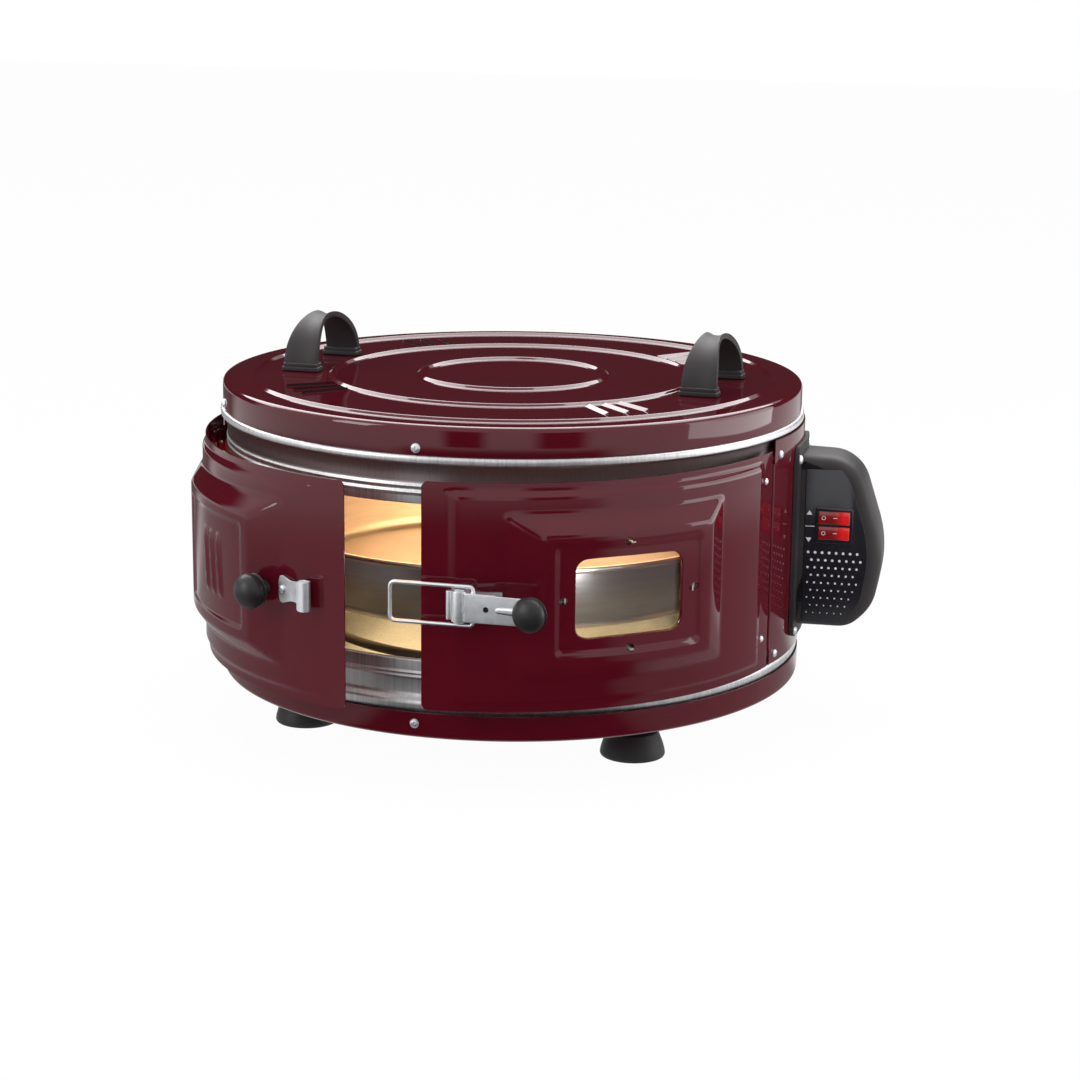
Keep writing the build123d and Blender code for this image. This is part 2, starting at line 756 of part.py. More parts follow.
def hinge_rivets(side):
    """Domed rivets through the door sheet and the hinge leaf."""
    azimuth = side * (hinge_azimuth - rivet_place())
    depth = sheet + leaf_thickness + 1.2
    return Compound(children=[
        at_azimuth(Pos(0, -shell_radius, height) * Rot(90, 0, 0) * rivet(depth), azimuth)
        for height in rivet_heights()
    ])


def rivet(depth):
    """Rivet standing on the XY plane: a low dome above it and a shank below."""
    head, rise, shank = rivet_radius, 1.1, rivet_shank
    profile = make_face(
        Polyline((0, -depth), (shank, -depth), (shank, 0), (head, 0))
        + ThreePointArc((head, 0), (head * 0.74, rise * 0.72), (0.3, rise))
        + Polyline((0.3, rise), (0, rise), (0, -depth))
    )
    return revolve(Plane.XZ * profile, Axis.Z, 360)


def hinge_axis_radius():
    """Radius of the hinge pins' axis."""
    return shell_radius - sheet - 0.1 - leaf_thickness + knuckle_radius


def hinge_leaf(side, on_door):
    """Hinge leaf behind a sheet with its share of the knuckles, for the right side."""
    radius = hinge_axis_radius()
    outer = shell_radius - sheet - 0.1
    reach = degrees(leaf_width / outer)
    x, y = polar(radius, hinge_azimuth)
    step = (hinge_high - hinge_low) / knuckle_count
    if on_door:
        leaf = sheet_ring(outer, hinge_low, hinge_high, leaf_thickness, hinge_azimuth - reach, hinge_azimuth)
    else:
        leaf = sheet_ring(outer, hinge_low, hinge_high, leaf_thickness, hinge_azimuth, hinge_azimuth + reach)
    for index in range(knuckle_count):
        mine = (index % 2 == 1) == on_door
        low = hinge_low + index * step
        gap = fit_gap
        middle = Pos(x, y, low + step / 2)
        if mine:
            leaf += middle * Cylinder(knuckle_radius, step - gap)
        else:
            leaf -= middle * Cylinder(knuckle_radius + 0.4, step + gap)
    leaf -= Pos(x, y, (hinge_low + hinge_high) / 2) * Cylinder(pin_radius + pin_clearance, hinge_high)
    if on_door:
        for height in rivet_heights():
            leaf -= radial_rod(rivet_hole, outer - 6, outer + 6, hinge_azimuth - rivet_place(), height)
    else:
        for height in body_screw_heights:
            leaf -= shank_hole(outer, body_screw_azimuth, height)
    return leaf if side > 0 else mirror(leaf, Plane.YZ)


def hinge_pin(side):
    """Long pin of one door hinge, with a small head on top."""
    x, y = polar(hinge_axis_radius(), side * hinge_azimuth)
    length = hinge_high - hinge_low
    pin = Pos(x, y, hinge_low + length / 2) * Cylinder(pin_radius, length)
    return pin + Pos(x, y, hinge_high + 0.5) * Cylinder(knuckle_radius, 1.0)


def body_screws():
    """Screws that hold the body leaves of the hinges."""
    places = [(side * body_screw_azimuth, height) for side in (-1, 1) for height in body_screw_heights]
    return Compound(children=[screw_head(shell_radius, azimuth, height, 3.0, 1.7) for azimuth, height in places])


# Window glass and its retaining frame


def window_glass():
    """Flat glass pane behind the window."""
    back = glass_front_radius()
    pane = Pos(0, -(back - glass_thickness / 2), window_height) * Box(
        window_width + 14, glass_thickness, window_tall + 12)
    return at_azimuth(pane, window_azimuth())


def glass_front_radius():
    """Distance from the drum's axis to the glass pane's front face."""
    return boss_face_radius() - frame_depth - window_sag() - sheet - fit_gap


def window_sag():
    """How far the curved boss face falls back at the glass pane's ends."""
    half = (window_width + 14) / 2
    return boss_face_radius() - (boss_face_radius() ** 2 - half ** 2) ** 0.5


def glass_frame():
    """Sheet frame behind the glass; its four tabs reach out through the boss's face."""
    back = glass_front_radius() - glass_thickness - 0.1
    plate = Pos(0, -(back - 0.5), window_height) * Box(2 * tab_hole_reach + 10, 1.0, 2 * tab_hole_rise + 8)
    cut = Pos(0, -back, window_height) * Rot(90, 0, 0)
    plate -= cut * extrude(RectangleRounded(window_width + 2, window_tall + 2, window_corner), 6, both=True)
    for along, up in ((-1, 0), (1, 0), (0, 1), (0, -1)):
        turn = along * degrees(tab_hole_reach / boss_face_radius())
        outer = boss_face_radius() + 0.4
        x = tab_x(along)
        reach = outer * cos(radians(turn)) - (back - 1.0)
        tab = Pos(x, -(back - 1.0 + reach / 2), window_height + up * tab_hole_rise)
        size = (1.0, reach, 3.4) if along else (3.4, reach, 1.0)
        plate += tab * Box(*size)
    return at_azimuth(plate, window_azimuth())


def tab_x(along):
    """Sideways place of a tab in the window's own flat frame."""
    turn = radians(degrees(tab_hole_reach / boss_face_radius()))
    return along * boss_face_radius() * sin(turn)


# Latch


def latch_azimuth():
    """Azimuth of the lever's pin with the right door closed."""
    return hinge_azimuth - latch_angle


def latch_axis_radius():
    """Radius of the lever's pin."""
    return door_surface() + latch_stand_off


def latch_rivet_azimuth():
    """Azimuth of the two rivets that hold the latch base."""
    return latch_azimuth() + 4.6


def latch_rivet_heights():
    """Heights of the two rivets that hold the latch base."""
    return (latch_height - 4.6, latch_height + 4.6)


def latch_base():
    """Riveted base: a saddle plate on the door with two ears that hold the lever's pin."""
    seat = door_surface() + 0.05
    radius = latch_axis_radius()
    reach = latch_ear_z() + ear_thickness / 2
    plate = sheet_ring(seat + 1.5, latch_height - reach, latch_height + reach, 1.5,
                       latch_azimuth() - 1.6, latch_azimuth() + 1.6)
    plate += sheet_ring(seat + 1.5, latch_height - 8, latch_height + 8, 1.5,
                        latch_azimuth() - 1.6, latch_azimuth() + 7.2)
    for side in (-1, 1):
        height = latch_height + side * latch_ear_z()
        ear = Pos(0, -radius, height) * Cylinder(4.0, ear_thickness)
        web = Pos(0, -(seat + 0.7 + radius) / 2, height) * Box(8.0, radius - seat - 0.7, ear_thickness)
        plate += at_azimuth(ear + web, latch_azimuth())
    pin = Pos(0, -radius, latch_height) * Cylinder(latch_pin_radius, 2 * reach + 0.2)
    plate += at_azimuth(pin, latch_azimuth())
    for height in latch_rivet_heights():
        head = Pos(0, -(seat + 1.4), height) * Rot(90, 0, 0) * rivet(sheet + 2.4)
        plate += at_azimuth(head, latch_rivet_azimuth())
    return plate


def lever_frame():
    """Location of the lever's own frame: origin on its pin, +X along the lever."""
    return Rot(0, 0, latch_azimuth()) * Pos(0, -latch_axis_radius(), latch_height) * Rot(0, 0, -lever_tilt)


def latch_lever():
    """Folded lever: a channel whose end is rolled round the pin, with a rib and a hole."""
    half = lever_width / 2
    thick = 1.2
    front = -lever_depth / 2 - 0.8
    lever = Pos(lever_length / 2, front - thick / 2, 0) * Box(lever_length, thick, lever_width)
    for side in (-1, 1):
        height = side * (half - thick / 2)
        reach = lever_length * 0.62
        lever += Pos(reach / 2, 0.0, height) * Box(reach, lever_depth + 0.8, thick)
    lever += Cylinder(barrel_radius, lever_width)
    lever -= Cylinder(latch_pin_radius + pin_clearance, 40)
    lever -= Pos(bail_pivot_reach, 0, 0) * Cylinder(bail_wire / 2 + pin_clearance, 40)
    lever -= Pos(lever_length * 0.42, front, 0) * Rot(90, 0, 0) * Cylinder(1.5, 6)
    rib = Pos(lever_length * 0.61, front - thick, 0) * Rot(90, 0, 0)
    lever += rib * extrude(SlotOverall(13, 3.4), 0.8)
    return lever_frame() * lever


def latch_ear_z():
    """Height of the base's ears from the lever's middle."""
    return lever_width / 2 + 0.35 + ear_thickness / 2


def lever_knob():
    """Ball knob on the end of the lever, with a flat collar behind it."""
    place = Pos(lever_length + 2.6, -lever_depth / 2 - 1.4, 0)
    ball = Sphere(lever_knob_radius) & Pos(3.0, 0, 0) * Box(2 * lever_knob_radius + 2, 30, 30)
    slot = Pos(-3.1, 0, 0) * Box(15, 1.3, lever_width + 0.1)
    return lever_frame() * (place * (ball - slot))


def wire_bail():
    """Wire loop that reaches from the lever over the catch."""
    radius = bail_wire / 2
    high = bail_half_height
    end = 7.2
    corner = 5.0
    x0 = bail_pivot_reach
    length = bail_length
    plane = Plane(origin=(0, 0, 0), x_dir=(1, 0, 0), z_dir=(0, -1, 0))
    points = [(0, high - end), (0, high), (-length, high), (-length, -high), (0, -high), (0, -high + end)]
    route = FilletPolyline(*points, radius=corner * 0.5)
    path = plane * route
    section = Plane(origin=path @ 0, z_dir=path % 0) * Circle(radius)
    loop = sweep(section, path=path)
    return lever_frame() * Pos(x0, 0, 0) * Rot(0, 0, bail_turn()) * loop


def bail_turn():
    """Turn of the bail against the lever so that it lies along the door."""
    return lever_tilt - bail_lean()


def bail_lean():
    """Half of the angle that the loop spans round the drum, so that it is a chord."""
    return degrees(asin(bail_length / 2 / latch_axis_radius())) + 1.0


def door_catch():
    """Catch plate on the left door: a necked strap whose end curls back into a hook."""
    seat = door_surface() + 0.05
    strap = sheet_ring(seat + 1.5, latch_height - 7, latch_height + 7, 1.5,
                       catch_screw_azimuth - 1.6, catch_screw_azimuth + 1.4)
    strap += sheet_ring(seat + 1.5, latch_height - 4.5, latch_height + 4.5, 1.5,
                        catch_screw_azimuth + 1.0, catch_seat_azimuth - 0.8)
    strap += sheet_ring(seat + 1.5, latch_height - 7.5, latch_height + 7.5, 1.5,
                        catch_seat_azimuth - 1.6, catch_seat_azimuth + 0.6)
    strap -= left_form(-0.05)
    strap -= radial_rod(1.7, seat - 6, seat + 6, catch_screw_azimuth, latch_height)
    return strap + at_azimuth(catch_hook(), catch_seat_azimuth)


def catch_hook():
    """Curled hook of the catch, open to the left, made at the front."""
    middle = latch_axis_radius() - catch_seat_drop
    thick = 1.5
    inner = 2.1
    outer = inner + thick
    curl = Cylinder(outer, catch_width) - Cylinder(inner, catch_width + 1)
    curl &= Pos(outer, 0, 0) * Box(2 * outer, 2 * outer + 1, catch_width + 1)
    lip = Pos(-1.5, -(inner + thick / 2), 0) * Box(3.2, thick, catch_width)
    root = Pos(-1.0, inner + thick / 2, 0) * Box(2.2, thick, catch_width)
    drop = middle - inner - door_surface() - 1.0
    post = Pos(-0.6, inner + drop / 2, 0) * Box(3.0, drop, catch_width * 0.7)
    return Pos(0, -middle, latch_height) * (curl + lip + root + post)


def catch_screw():
    """Screw that holds the catch plate."""
    return screw_head(door_surface() + 1.55, catch_screw_azimuth, latch_height, 2.8, 1.6)


def left_door_knob():
    """Ball knob of the left door on a short neck."""
    seat = door_surface() + 0.1
    centre = seat + door_knob_stand_off
    ball = Pos(0, -centre, latch_height) * Sphere(door_knob_radius)
    neck = Pos(0, -(seat + centre) / 2, latch_height) * Rot(90, 0, 0) * Cylinder(5.0, centre - seat)
    foot = Pos(0, -(seat + 0.9), latch_height) * Rot(90, 0, 0) * Cylinder(7.0, 1.8)
    knob = ball + neck + foot
    knob -= Pos(0, -seat - 4, latch_height) * Rot(90, 0, 0) * Cylinder(1.7, 18)
    return at_azimuth(knob, door_knob_azimuth) - left_form(-0.05)


def knob_screw():
    """Screw that holds the left door's knob from inside."""
    inner = door_surface() - sheet
    shank = radial_rod(1.65, inner - 1, door_surface() + 9, door_knob_azimuth, latch_height)
    head = radial_rod(3.6, inner - 3.0, inner + 6, door_knob_azimuth, latch_height)
    return (head & left_form(sheet + 0.05)) + shank


# Control box, made with its radial direction along +X and turned into place


def to_box(shape):
    """Turn a shape made along +X to the control box's azimuth."""
    return Rot(0, 0, box_azimuth - 90) * shape


def box_outline(inset):
    """Side outline of the control box in radial and vertical coordinates."""
    low, high = box_low + inset, box_high - inset
    reach = box_reach - inset
    root = shell_radius - 8
    points = [
        (root, low), (reach - 22, low), (reach - 3, low + 22), (reach, low + 62), (reach - 20, high - 14),
        (reach - 32, high), (root, high),
    ]
    outline = make_face(Polyline(*points, close=True))
    rounds = ((1, 9), (2, 26), (3, 60), (4, 20), (5, 10))
    for index, radius in rounds:
        x, y = points[index]
        corner = outline.vertices().sort_by_distance(Vector(x, y, 0))[0]
        outline = fillet(corner, radius - inset * 0.5)
    return outline


def box_form(inset):
    """Filled form of the control box with rounded front and back edges."""
    half = box_half_width - inset
    solid = Pos(0, half, 0) * extrude(Plane.XZ * box_outline(inset), 2 * half)
    rim = [
        edge for edge in solid.edges()
        if abs(abs(edge.center().Y) - half) < 0.01 and edge.center().X > shell_radius - 7
        and edge.center().Z > box_low + inset + 0.5
    ]
    return fillet(rim, 8.0 - inset)


def control_box():
    """Moulded housing with a curved flange that screws to the side wall."""
    shell = box_form(0.0) - box_form(box_wall)
    shell -= Pos(0, 0, 150) * Cylinder(shell_radius + 0.6, 300)
    span = degrees(asin(flange_half_width / shell_radius))
    flange = sheet_ring(shell_radius + fit_gap + flange_thickness, flange_low, flange_high, flange_thickness,
                        90 - span, 90 + span)
    corners = Pos(shell_radius - 12, 0, (flange_low + flange_high) / 2) * Rot(0, 90, 0)
    tall = flange_high - flange_low
    flange &= corners * extrude(RectangleRounded(tall, 2 * flange_half_width, flange_corner), 30)
    body = shell + (flange - box_form(box_wall))
    seat = shell_radius + fit_gap + flange_thickness
    for side in (-1, 1):
        for height in flange_screw_heights:
            azimuth = 90 + side * flange_screw_turn()
            body -= radial_rod(flange_pocket_radius, seat, seat + 9, azimuth, height)
            body -= shank_hole(seat, azimuth, height)
    body -= Pos(switch_reach, -box_half_width, switch_height) * Box(switch_width - 3, 12, switch_tall - 3)
    body -= Pos(gland_reach, 0, box_low) * Cylinder(5.1, 12)
    return to_box(body)


def flange_screw_turn():
    """Angle from the box's middle to its flange screws."""
    return degrees(asin(flange_screw_offset / (shell_radius + flange_thickness)))


def control_label():
    """Thin glossy panel on the box's front face, following its outline."""
    near, far = shell_radius + 5, box_reach - 11
    limit = Pos((near + far) / 2, (label_low + label_high) / 2) * Rectangle(far - near, label_high - label_low)
    face = box_outline(9.0) & limit
    panel = Pos(0, -box_half_width - 0.02, 0) * extrude(Plane.XZ * face, label_thickness)
    panel -= Pos(switch_reach, -box_half_width, switch_height) * Box(switch_width + 0.4, 6, switch_tall + 0.4)
    return to_box(panel)


def switch_housing():
    """Rim and body of the twin switch, with a well for each rocker."""
    rim = Pos(switch_reach, -box_half_width - switch_rim / 2, switch_height) * Box(
        switch_width, switch_rim, switch_tall)
    depth = 16.0
    body = Pos(switch_reach, -box_half_width + depth / 2, switch_height) * Box(
        switch_width - 3.4, depth, switch_tall - 3.4)
    housing = rim + body
    for side in (-1, 1):
        well = Pos(switch_reach, -box_half_width + 4.2, switch_height + side * rocker_pitch / 2)
        housing -= well * Box(rocker_width + 1.2, 13.2, rocker_tall + 0.6)
        x, y = rocker_axis()
        pivot = Pos(x, y, switch_height + side * rocker_pitch / 2)
        housing -= pivot * Cylinder(rocker_pin_radius + pin_clearance, rocker_tall + 1.2)
    return to_box(housing)


def rocker_axis():
    """Plan position of the rockers' pivot line in the box's own frame."""
    return switch_reach, -box_half_width + rocker_pivot_depth


def rocker(side):
    """Rocker key with a shallow V face and a pivot boss."""
    half = rocker_width / 2
    front = -(rocker_pivot_depth + switch_rim + 1.6)
    outline = make_face(Polyline(
        (-half + 1.1, front + 0.2), (half * 0.3, front + 2.0), (half - 1.1, front + 0.2),
        (half, front + 4.6), (4.0, 2.4), (-4.0, 2.4), (-half, front + 4.6), close=True,
    ))
    key = Pos(0, 0, -rocker_tall / 2) * extrude(outline, rocker_tall)
    key += Cylinder(rocker_pin_radius, rocker_tall + 1.0)
    x, y = rocker_axis()
    place = Pos(x, y, switch_height + side * rocker_pitch / 2) * Rot(0, 0, -rocker_tilt)
    return to_box(place * key)


def cord_gland():
    """Short bush under the box where the supply cord goes in."""
    flange = Pos(gland_reach, 0, box_low - 1.25) * Cylinder(7.0, 2.5)
    sleeve = Pos(gland_reach, 0, box_low + 1.5) * Cylinder(5.0, 8.0)
    bush = flange + sleeve
    bush -= Pos(gland_reach, 0, box_low) * Cylinder(3.4, 30)
    return to_box(bush)


def flange_screws():
    """Four screws that hold the control box."""
    seat = shell_radius + fit_gap + flange_thickness + 0.02
    places = [(box_azimuth + side * flange_screw_turn(), height) for side in (-1, 1) for height in flange_screw_heights]
    return Compound(children=[screw_head(seat, azimuth, height, 3.4, 1.8) for azimuth, height in places])


# Opening of the doors and the list of nodes


def swing(shape, side, angle):
    """Turn a piece about its door's hinge pin, outwards for a positive angle."""
    x, y = polar(hinge_axis_radius(), side * hinge_azimuth)
    return Pos(x, y, 0) * Rot(0, 0, side * angle) * Pos(-x, -y, 0) * shape


def right_door_parts():
    """Pieces that move with the right door, and the latch on it."""
    return {
        "right_door_panel": right_door_panel(),
        "right_hinge_door_leaf": hinge_leaf(1, True),
        "right_door_rivets": hinge_rivets(1),
        "window_glass": window_glass(),
        "window_glass_frame": glass_frame(),
        "latch_base": latch_base(),
        "latch_lever": latch_lever(),
        "latch_knob": lever_knob(),
        "latch_bail": wire_bail(),
    }


def left_door_parts():
    """Pieces that move with the left door."""
    return {
        "left_door_panel": left_door_panel(),
        "left_hinge_door_leaf": hinge_leaf(-1, True),
        "left_door_rivets": hinge_rivets(-1),
        "left_door_catch": door_catch(),
        "left_door_catch_screw": catch_screw(),
        "left_door_knob": left_door_knob(),
        "left_door_knob_screw": knob_screw(),
    }


def body_parts():
    """Pieces that stay still, and the tray and rockers."""
    parts = {
        "lid_shell": lid_shell(),
        "left_handle": lid_handle(-90),
        "right_handle": lid_handle(90),
        "handle_screws": handle_screws(),
        "lid_screws": skirt_screws(lid_screw_azimuths, lid_radius, lid_screw_height),
        "upper_ring": upper_ring(),
        "lower_ring": lower_ring(),
        "drum_wall": drum_wall(),
        "side_wall": side_wall(),
        "ceiling_plate": ceiling_plate(),
        "floor_plate": floor_plate(),
        "base_pan": base_pan(),
        "base_screws": skirt_screws(base_screw_azimuths, skirt_radius, base_screw_height),
        "foot_screws": foot_screws(),
        "right_hinge_body_leaf": hinge_leaf(1, False),
        "left_hinge_body_leaf": hinge_leaf(-1, False),
        "right_hinge_pin": hinge_pin(1),
        "left_hinge_pin": hinge_pin(-1),
        "hinge_screws": body_screws(),
        "upper_element": heating_element(upper_element_height, upper_exit_height),
        "lower_element": heating_element(lower_element_height, lower_exit_height),
        "upper_element_terminals": terminals(upper_exit_height),
        "lower_element_terminals": terminals(lower_exit_height),
        "upper_element_clips": element_clips(upper_element_height, ceiling_height),
        "lower_element_clips": element_clips(lower_element_height, floor_height),
        "tray_stand": tray_stand(),
        "baking_tray": baking_tray(),
        "control_box": control_box(),
        "control_label": control_label(),
        "switch_housing": switch_housing(),
        "upper_rocker": rocker(1),
        "lower_rocker": rocker(-1),
        "cord_gland": cord_gland(),
        "control_box_screws": flange_screws(),
    }
    for name, azimuth in zip(("front_right", "rear_right", "rear_left", "front_left"), foot_azimuths):
        parts[name + "_foot"] = rubber_foot(azimuth)
    return parts


def main():
    """Write one file for each node."""
    os.makedirs("parts", exist_ok=True)
    nodes = body_parts()
    nodes.update({name: swing(shape, 1, right_door_ajar) for name, shape in right_door_parts().items()})
    nodes.update({name: swing(shape, -1, left_door_open) for name, shape in left_door_parts().items()})
    for name, shape in nodes.items():
        export_step(shape, "parts/" + name + ".step")


if __name__ == "__main__":
    main()
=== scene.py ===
import math
import bmesh
import bpy
import numpy as np
from mathutils import Matrix, Vector


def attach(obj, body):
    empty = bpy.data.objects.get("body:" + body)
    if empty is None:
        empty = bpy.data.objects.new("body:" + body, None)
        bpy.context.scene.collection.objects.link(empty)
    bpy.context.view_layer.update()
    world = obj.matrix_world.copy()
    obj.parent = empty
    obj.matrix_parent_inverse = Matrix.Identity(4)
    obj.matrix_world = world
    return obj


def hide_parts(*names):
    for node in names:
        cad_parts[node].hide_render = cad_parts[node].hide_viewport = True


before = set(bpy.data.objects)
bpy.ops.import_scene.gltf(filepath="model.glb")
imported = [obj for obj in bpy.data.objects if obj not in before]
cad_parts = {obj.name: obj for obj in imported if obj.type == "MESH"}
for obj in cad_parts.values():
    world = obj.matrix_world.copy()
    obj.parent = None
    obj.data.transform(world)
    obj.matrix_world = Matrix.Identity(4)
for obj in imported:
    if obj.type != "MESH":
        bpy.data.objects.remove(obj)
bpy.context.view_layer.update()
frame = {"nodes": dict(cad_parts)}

mm = 0.001
scene = bpy.context.scene
nodes = frame["nodes"]
print("frame loaded:", len(nodes), "nodes")

# Heights and radii of the drum, in millimetres

drum = {
    "panBottom": 34.0, "skirtTop": 53.0, "beadTop": 61.0, "sill": 89.5, "lintel": 201.0,
    "neckTop": 230.6, "lidBottom": 236.0, "lidTop": 257.0,
    "wallRadius": 217.0, "beadRadius": 222.0, "shellRadius": 223.0, "skirtRadius": 222.8, "lidRadius": 220.0,
    "hinge": 75.4, "hingeRadius": 222.6, "ajar": 5.0, "open": 10.5,
}


def around(radius, azimuth, z):  # a point at a radius and azimuth from the front, in metres
    a = np.radians(azimuth)
    return np.stack(np.broadcast_arrays(radius * np.sin(a), -radius * np.cos(a), z), -1) * mm


def swing(points, side, angle):  # turns points about a door's hinge pin, outwards
    centre = around(drum["hingeRadius"], side * drum["hinge"], 0.0)
    a = math.radians(side * angle)
    turn = np.array([[math.cos(a), -math.sin(a), 0], [math.sin(a), math.cos(a), 0], [0, 0, 1]])
    return (points - centre) @ turn.T + centre


# Mesh helpers


def rounded(points, radii, steps=6, closed=True):  # rounds the corners of an outline
    points = [np.array(p, float) for p in points]
    out = []
    count = len(points)
    for i, corner in enumerate(points):
        r = radii[i] if isinstance(radii, (list, tuple)) else radii
        if r <= 0 or (not closed and i in (0, count - 1)):
            out.append(corner)
            continue
        before, after = points[i - 1] - corner, points[(i + 1) % count] - corner
        reach = min(r, np.linalg.norm(before) * 0.49, np.linalg.norm(after) * 0.49)
        a = corner + before / np.linalg.norm(before) * reach
        b = corner + after / np.linalg.norm(after) * reach
        for k in range(steps + 1):
            t = k / steps
            out.append((1 - t) ** 2 * a + 2 * t * (1 - t) * corner + t * t * b)
    return np.array(out)


def shift(x, y, z):
    return Matrix.Translation((x * mm, y * mm, z * mm))


def carriedTo(place, local):  # local points, in metres, put where a matrix says
    turn = np.array(place)
    return np.asarray(local).reshape(-1, 3) @ turn[:3, :3].T + turn[:3, 3]


def oblong(width, tall, x=0.0, y=0.0):
    return [(x - width / 2, y - tall / 2), (x + width / 2, y - tall / 2), (x + width / 2, y + tall / 2),
            (x - width / 2, y + tall / 2)]


def gridFaces(rows, cols, closeRows=False, closeCols=False, offset=0):
    faces = []
    for i in range(rows if closeRows else rows - 1):
        for j in range(cols if closeCols else cols - 1):
            a, b = i, (i + 1) % rows
            c, d = j, (j + 1) % cols
            faces.append([offset + a * cols + c, offset + b * cols + c, offset + b * cols + d,
                          offset + a * cols + d])
    return faces


def piece(name, points, faces, finish, body, stands=(), sharp=35):
    mesh = bpy.data.meshes.new(name)
    mesh.from_pydata([tuple(p) for p in np.asarray(points, float).reshape(-1, 3)], [], faces)
    mesh.update()
    obj = bpy.data.objects.new(name, mesh)
    scene.collection.objects.link(obj)
    return settle(obj, finish, body, stands, sharp)


def settle(obj, finish, body, stands=(), sharp=35, weld=True):  # normals, finish and rider
    if weld:
        bm = bmesh.new()
        bm.from_mesh(obj.data)
        bmesh.ops.remove_doubles(bm, verts=bm.verts, dist=1e-6)
        bmesh.ops.recalc_face_normals(bm, faces=bm.faces)
        bm.to_mesh(obj.data)
        bm.free()
    obj.data.materials.clear()
    obj.data.materials.append(finishes[finish])
    obj.data.shade_smooth()
    obj.data.set_sharp_from_angle(angle=math.radians(sharp))
    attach(obj, body)
    if stands:
        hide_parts(*([stands] if isinstance(stands, str) else stands))
    return obj


def lathe(name, outline, finish, body, stands=(), segments=240, start=None, end=None, sharp=35):
    outline = np.array(outline, float)  # closed outline of (radius, height), swept about the drum's axis
    whole = start is None
    turns = np.linspace(0, 360, segments, endpoint=False) if whole else np.linspace(start, end, segments)
    grid = around(outline[None, :, 0], turns[:, None], outline[None, :, 1])
    faces = gridFaces(segments, len(outline), whole, True)
    if not whole:
        faces.append(list(range(len(outline))))
        faces.append(list(range((segments - 1) * len(outline), segments * len(outline)))[::-1])
    return piece(name, grid, faces, finish, body, stands, sharp)


def spin(name, outline, place, finish, body, stands=(), segments=64, sharp=35):
    # open outline of (radius, height) about a matrix's Z axis, from axis to axis
    outline = np.array(outline, float)
    a = np.linspace(0, 2 * math.pi, segments, endpoint=False)
    local = np.stack(np.broadcast_arrays(outline[None, :, 0] * np.cos(a)[:, None],
                                         outline[None, :, 0] * np.sin(a)[:, None],
                                         outline[None, :, 1] + 0 * a[:, None]), -1) * mm
    return piece(name, carriedTo(place, local), gridFaces(segments, len(outline), True, False), finish, body,
                 stands, sharp)


def bar(name, outline, depth, place, finish, body, stands=(), bevel=0.0, sharp=35):
    # flat outline in XY, thickened from 0 to depth along Z, edges rounded by bevel
    outline = np.array(outline, float)
    area = np.sum(outline[:, 0] * np.roll(outline[:, 1], -1) - np.roll(outline[:, 0], -1) * outline[:, 1])
    if area < 0:
        outline = outline[::-1]
    along = np.roll(outline, -1, 0) - np.roll(outline, 1, 0)
    along /= np.linalg.norm(along, axis=1, keepdims=True) + 1e-9
    inward = np.stack([-along[:, 1], along[:, 0]], 1)
    loops = []
    steps = 5 if bevel else 0
    for k in range(steps + 1 if bevel else 1):
        t = math.pi / 2 * k / steps if bevel else math.pi / 2
        loops.append((bevel * (1 - math.sin(t)), bevel * (1 - math.cos(t))))
    rings = [(i, z) for i, z in loops] + [(i, depth - z) for i, z in reversed(loops)]
    count = len(outline)
    local = np.concatenate([np.column_stack([outline + inward * i, np.full(count, z)]) for i,
                            z in rings]) * mm
    faces = gridFaces(len(rings), count, False, True)
    faces.append(list(range(count))[::-1])
    faces.append(list(range((len(rings) - 1) * count, len(rings) * count)))
    return piece(name, carriedTo(place, local), faces, finish, body, stands, sharp)


def box(name, size, place, finish, body, stands=(), bevel=0.4):
    x, y, z = size
    outline = rounded(oblong(x, y), min(x, y) * 0.2, 3)
    return bar(name, outline, z, place @ shift(0, 0, -z / 2), finish, body, stands, bevel)


def tube(name, stops, radius, finish, body, stands=(), corner=0.0, sides=14, closed=False):
    stops = [np.array(s, float) for s in stops]  # a wire through the stops, in millimetres, corners rounded
    path = rounded(stops, corner, 6, closed) if corner else np.array(stops)
    count = len(path)
    points = []
    normal = None
    for i in range(count):
        before = path[i - 1 if i or closed else 0]
        after = path[(i + 1) % count if i < count - 1 or closed else i]
        forward = (after - before) / np.linalg.norm(after - before)
        if normal is None:
            normal = np.cross(forward, [0.123, 0.2, 0.97])
        normal = normal - forward * np.dot(normal, forward)
        normal /= np.linalg.norm(normal)
        other = np.cross(forward, normal)
        for k in range(sides):
            a = 2 * math.pi * k / sides
            points.append(path[i] + radius * (math.cos(a) * normal + math.sin(a) * other))
    faces = gridFaces(count, sides, closed, True)
    if not closed:
        faces += [list(range(sides))[::-1], list(range((count - 1) * sides, count * sides))]
    return piece(name, np.array(points) * mm, faces, finish, body, stands, 50)


def cut(obj, cutter):  # takes the cutter's space out of a piece
    modifier = obj.modifiers.new("cut", "BOOLEAN")
    modifier.object = cutter
    modifier.operation = "DIFFERENCE"
    modifier.solver = "EXACT"
    bpy.context.view_layer.update()
    cutMesh = bpy.data.meshes.new_from_object(obj.evaluated_get(bpy.context.evaluated_depsgraph_get()))
    obj.modifiers.clear()
    obj.data = cutMesh
    bpy.data.objects.remove(cutter)
    obj.data.shade_smooth()
    obj.data.set_sharp_from_angle(angle=math.radians(35))
    return obj


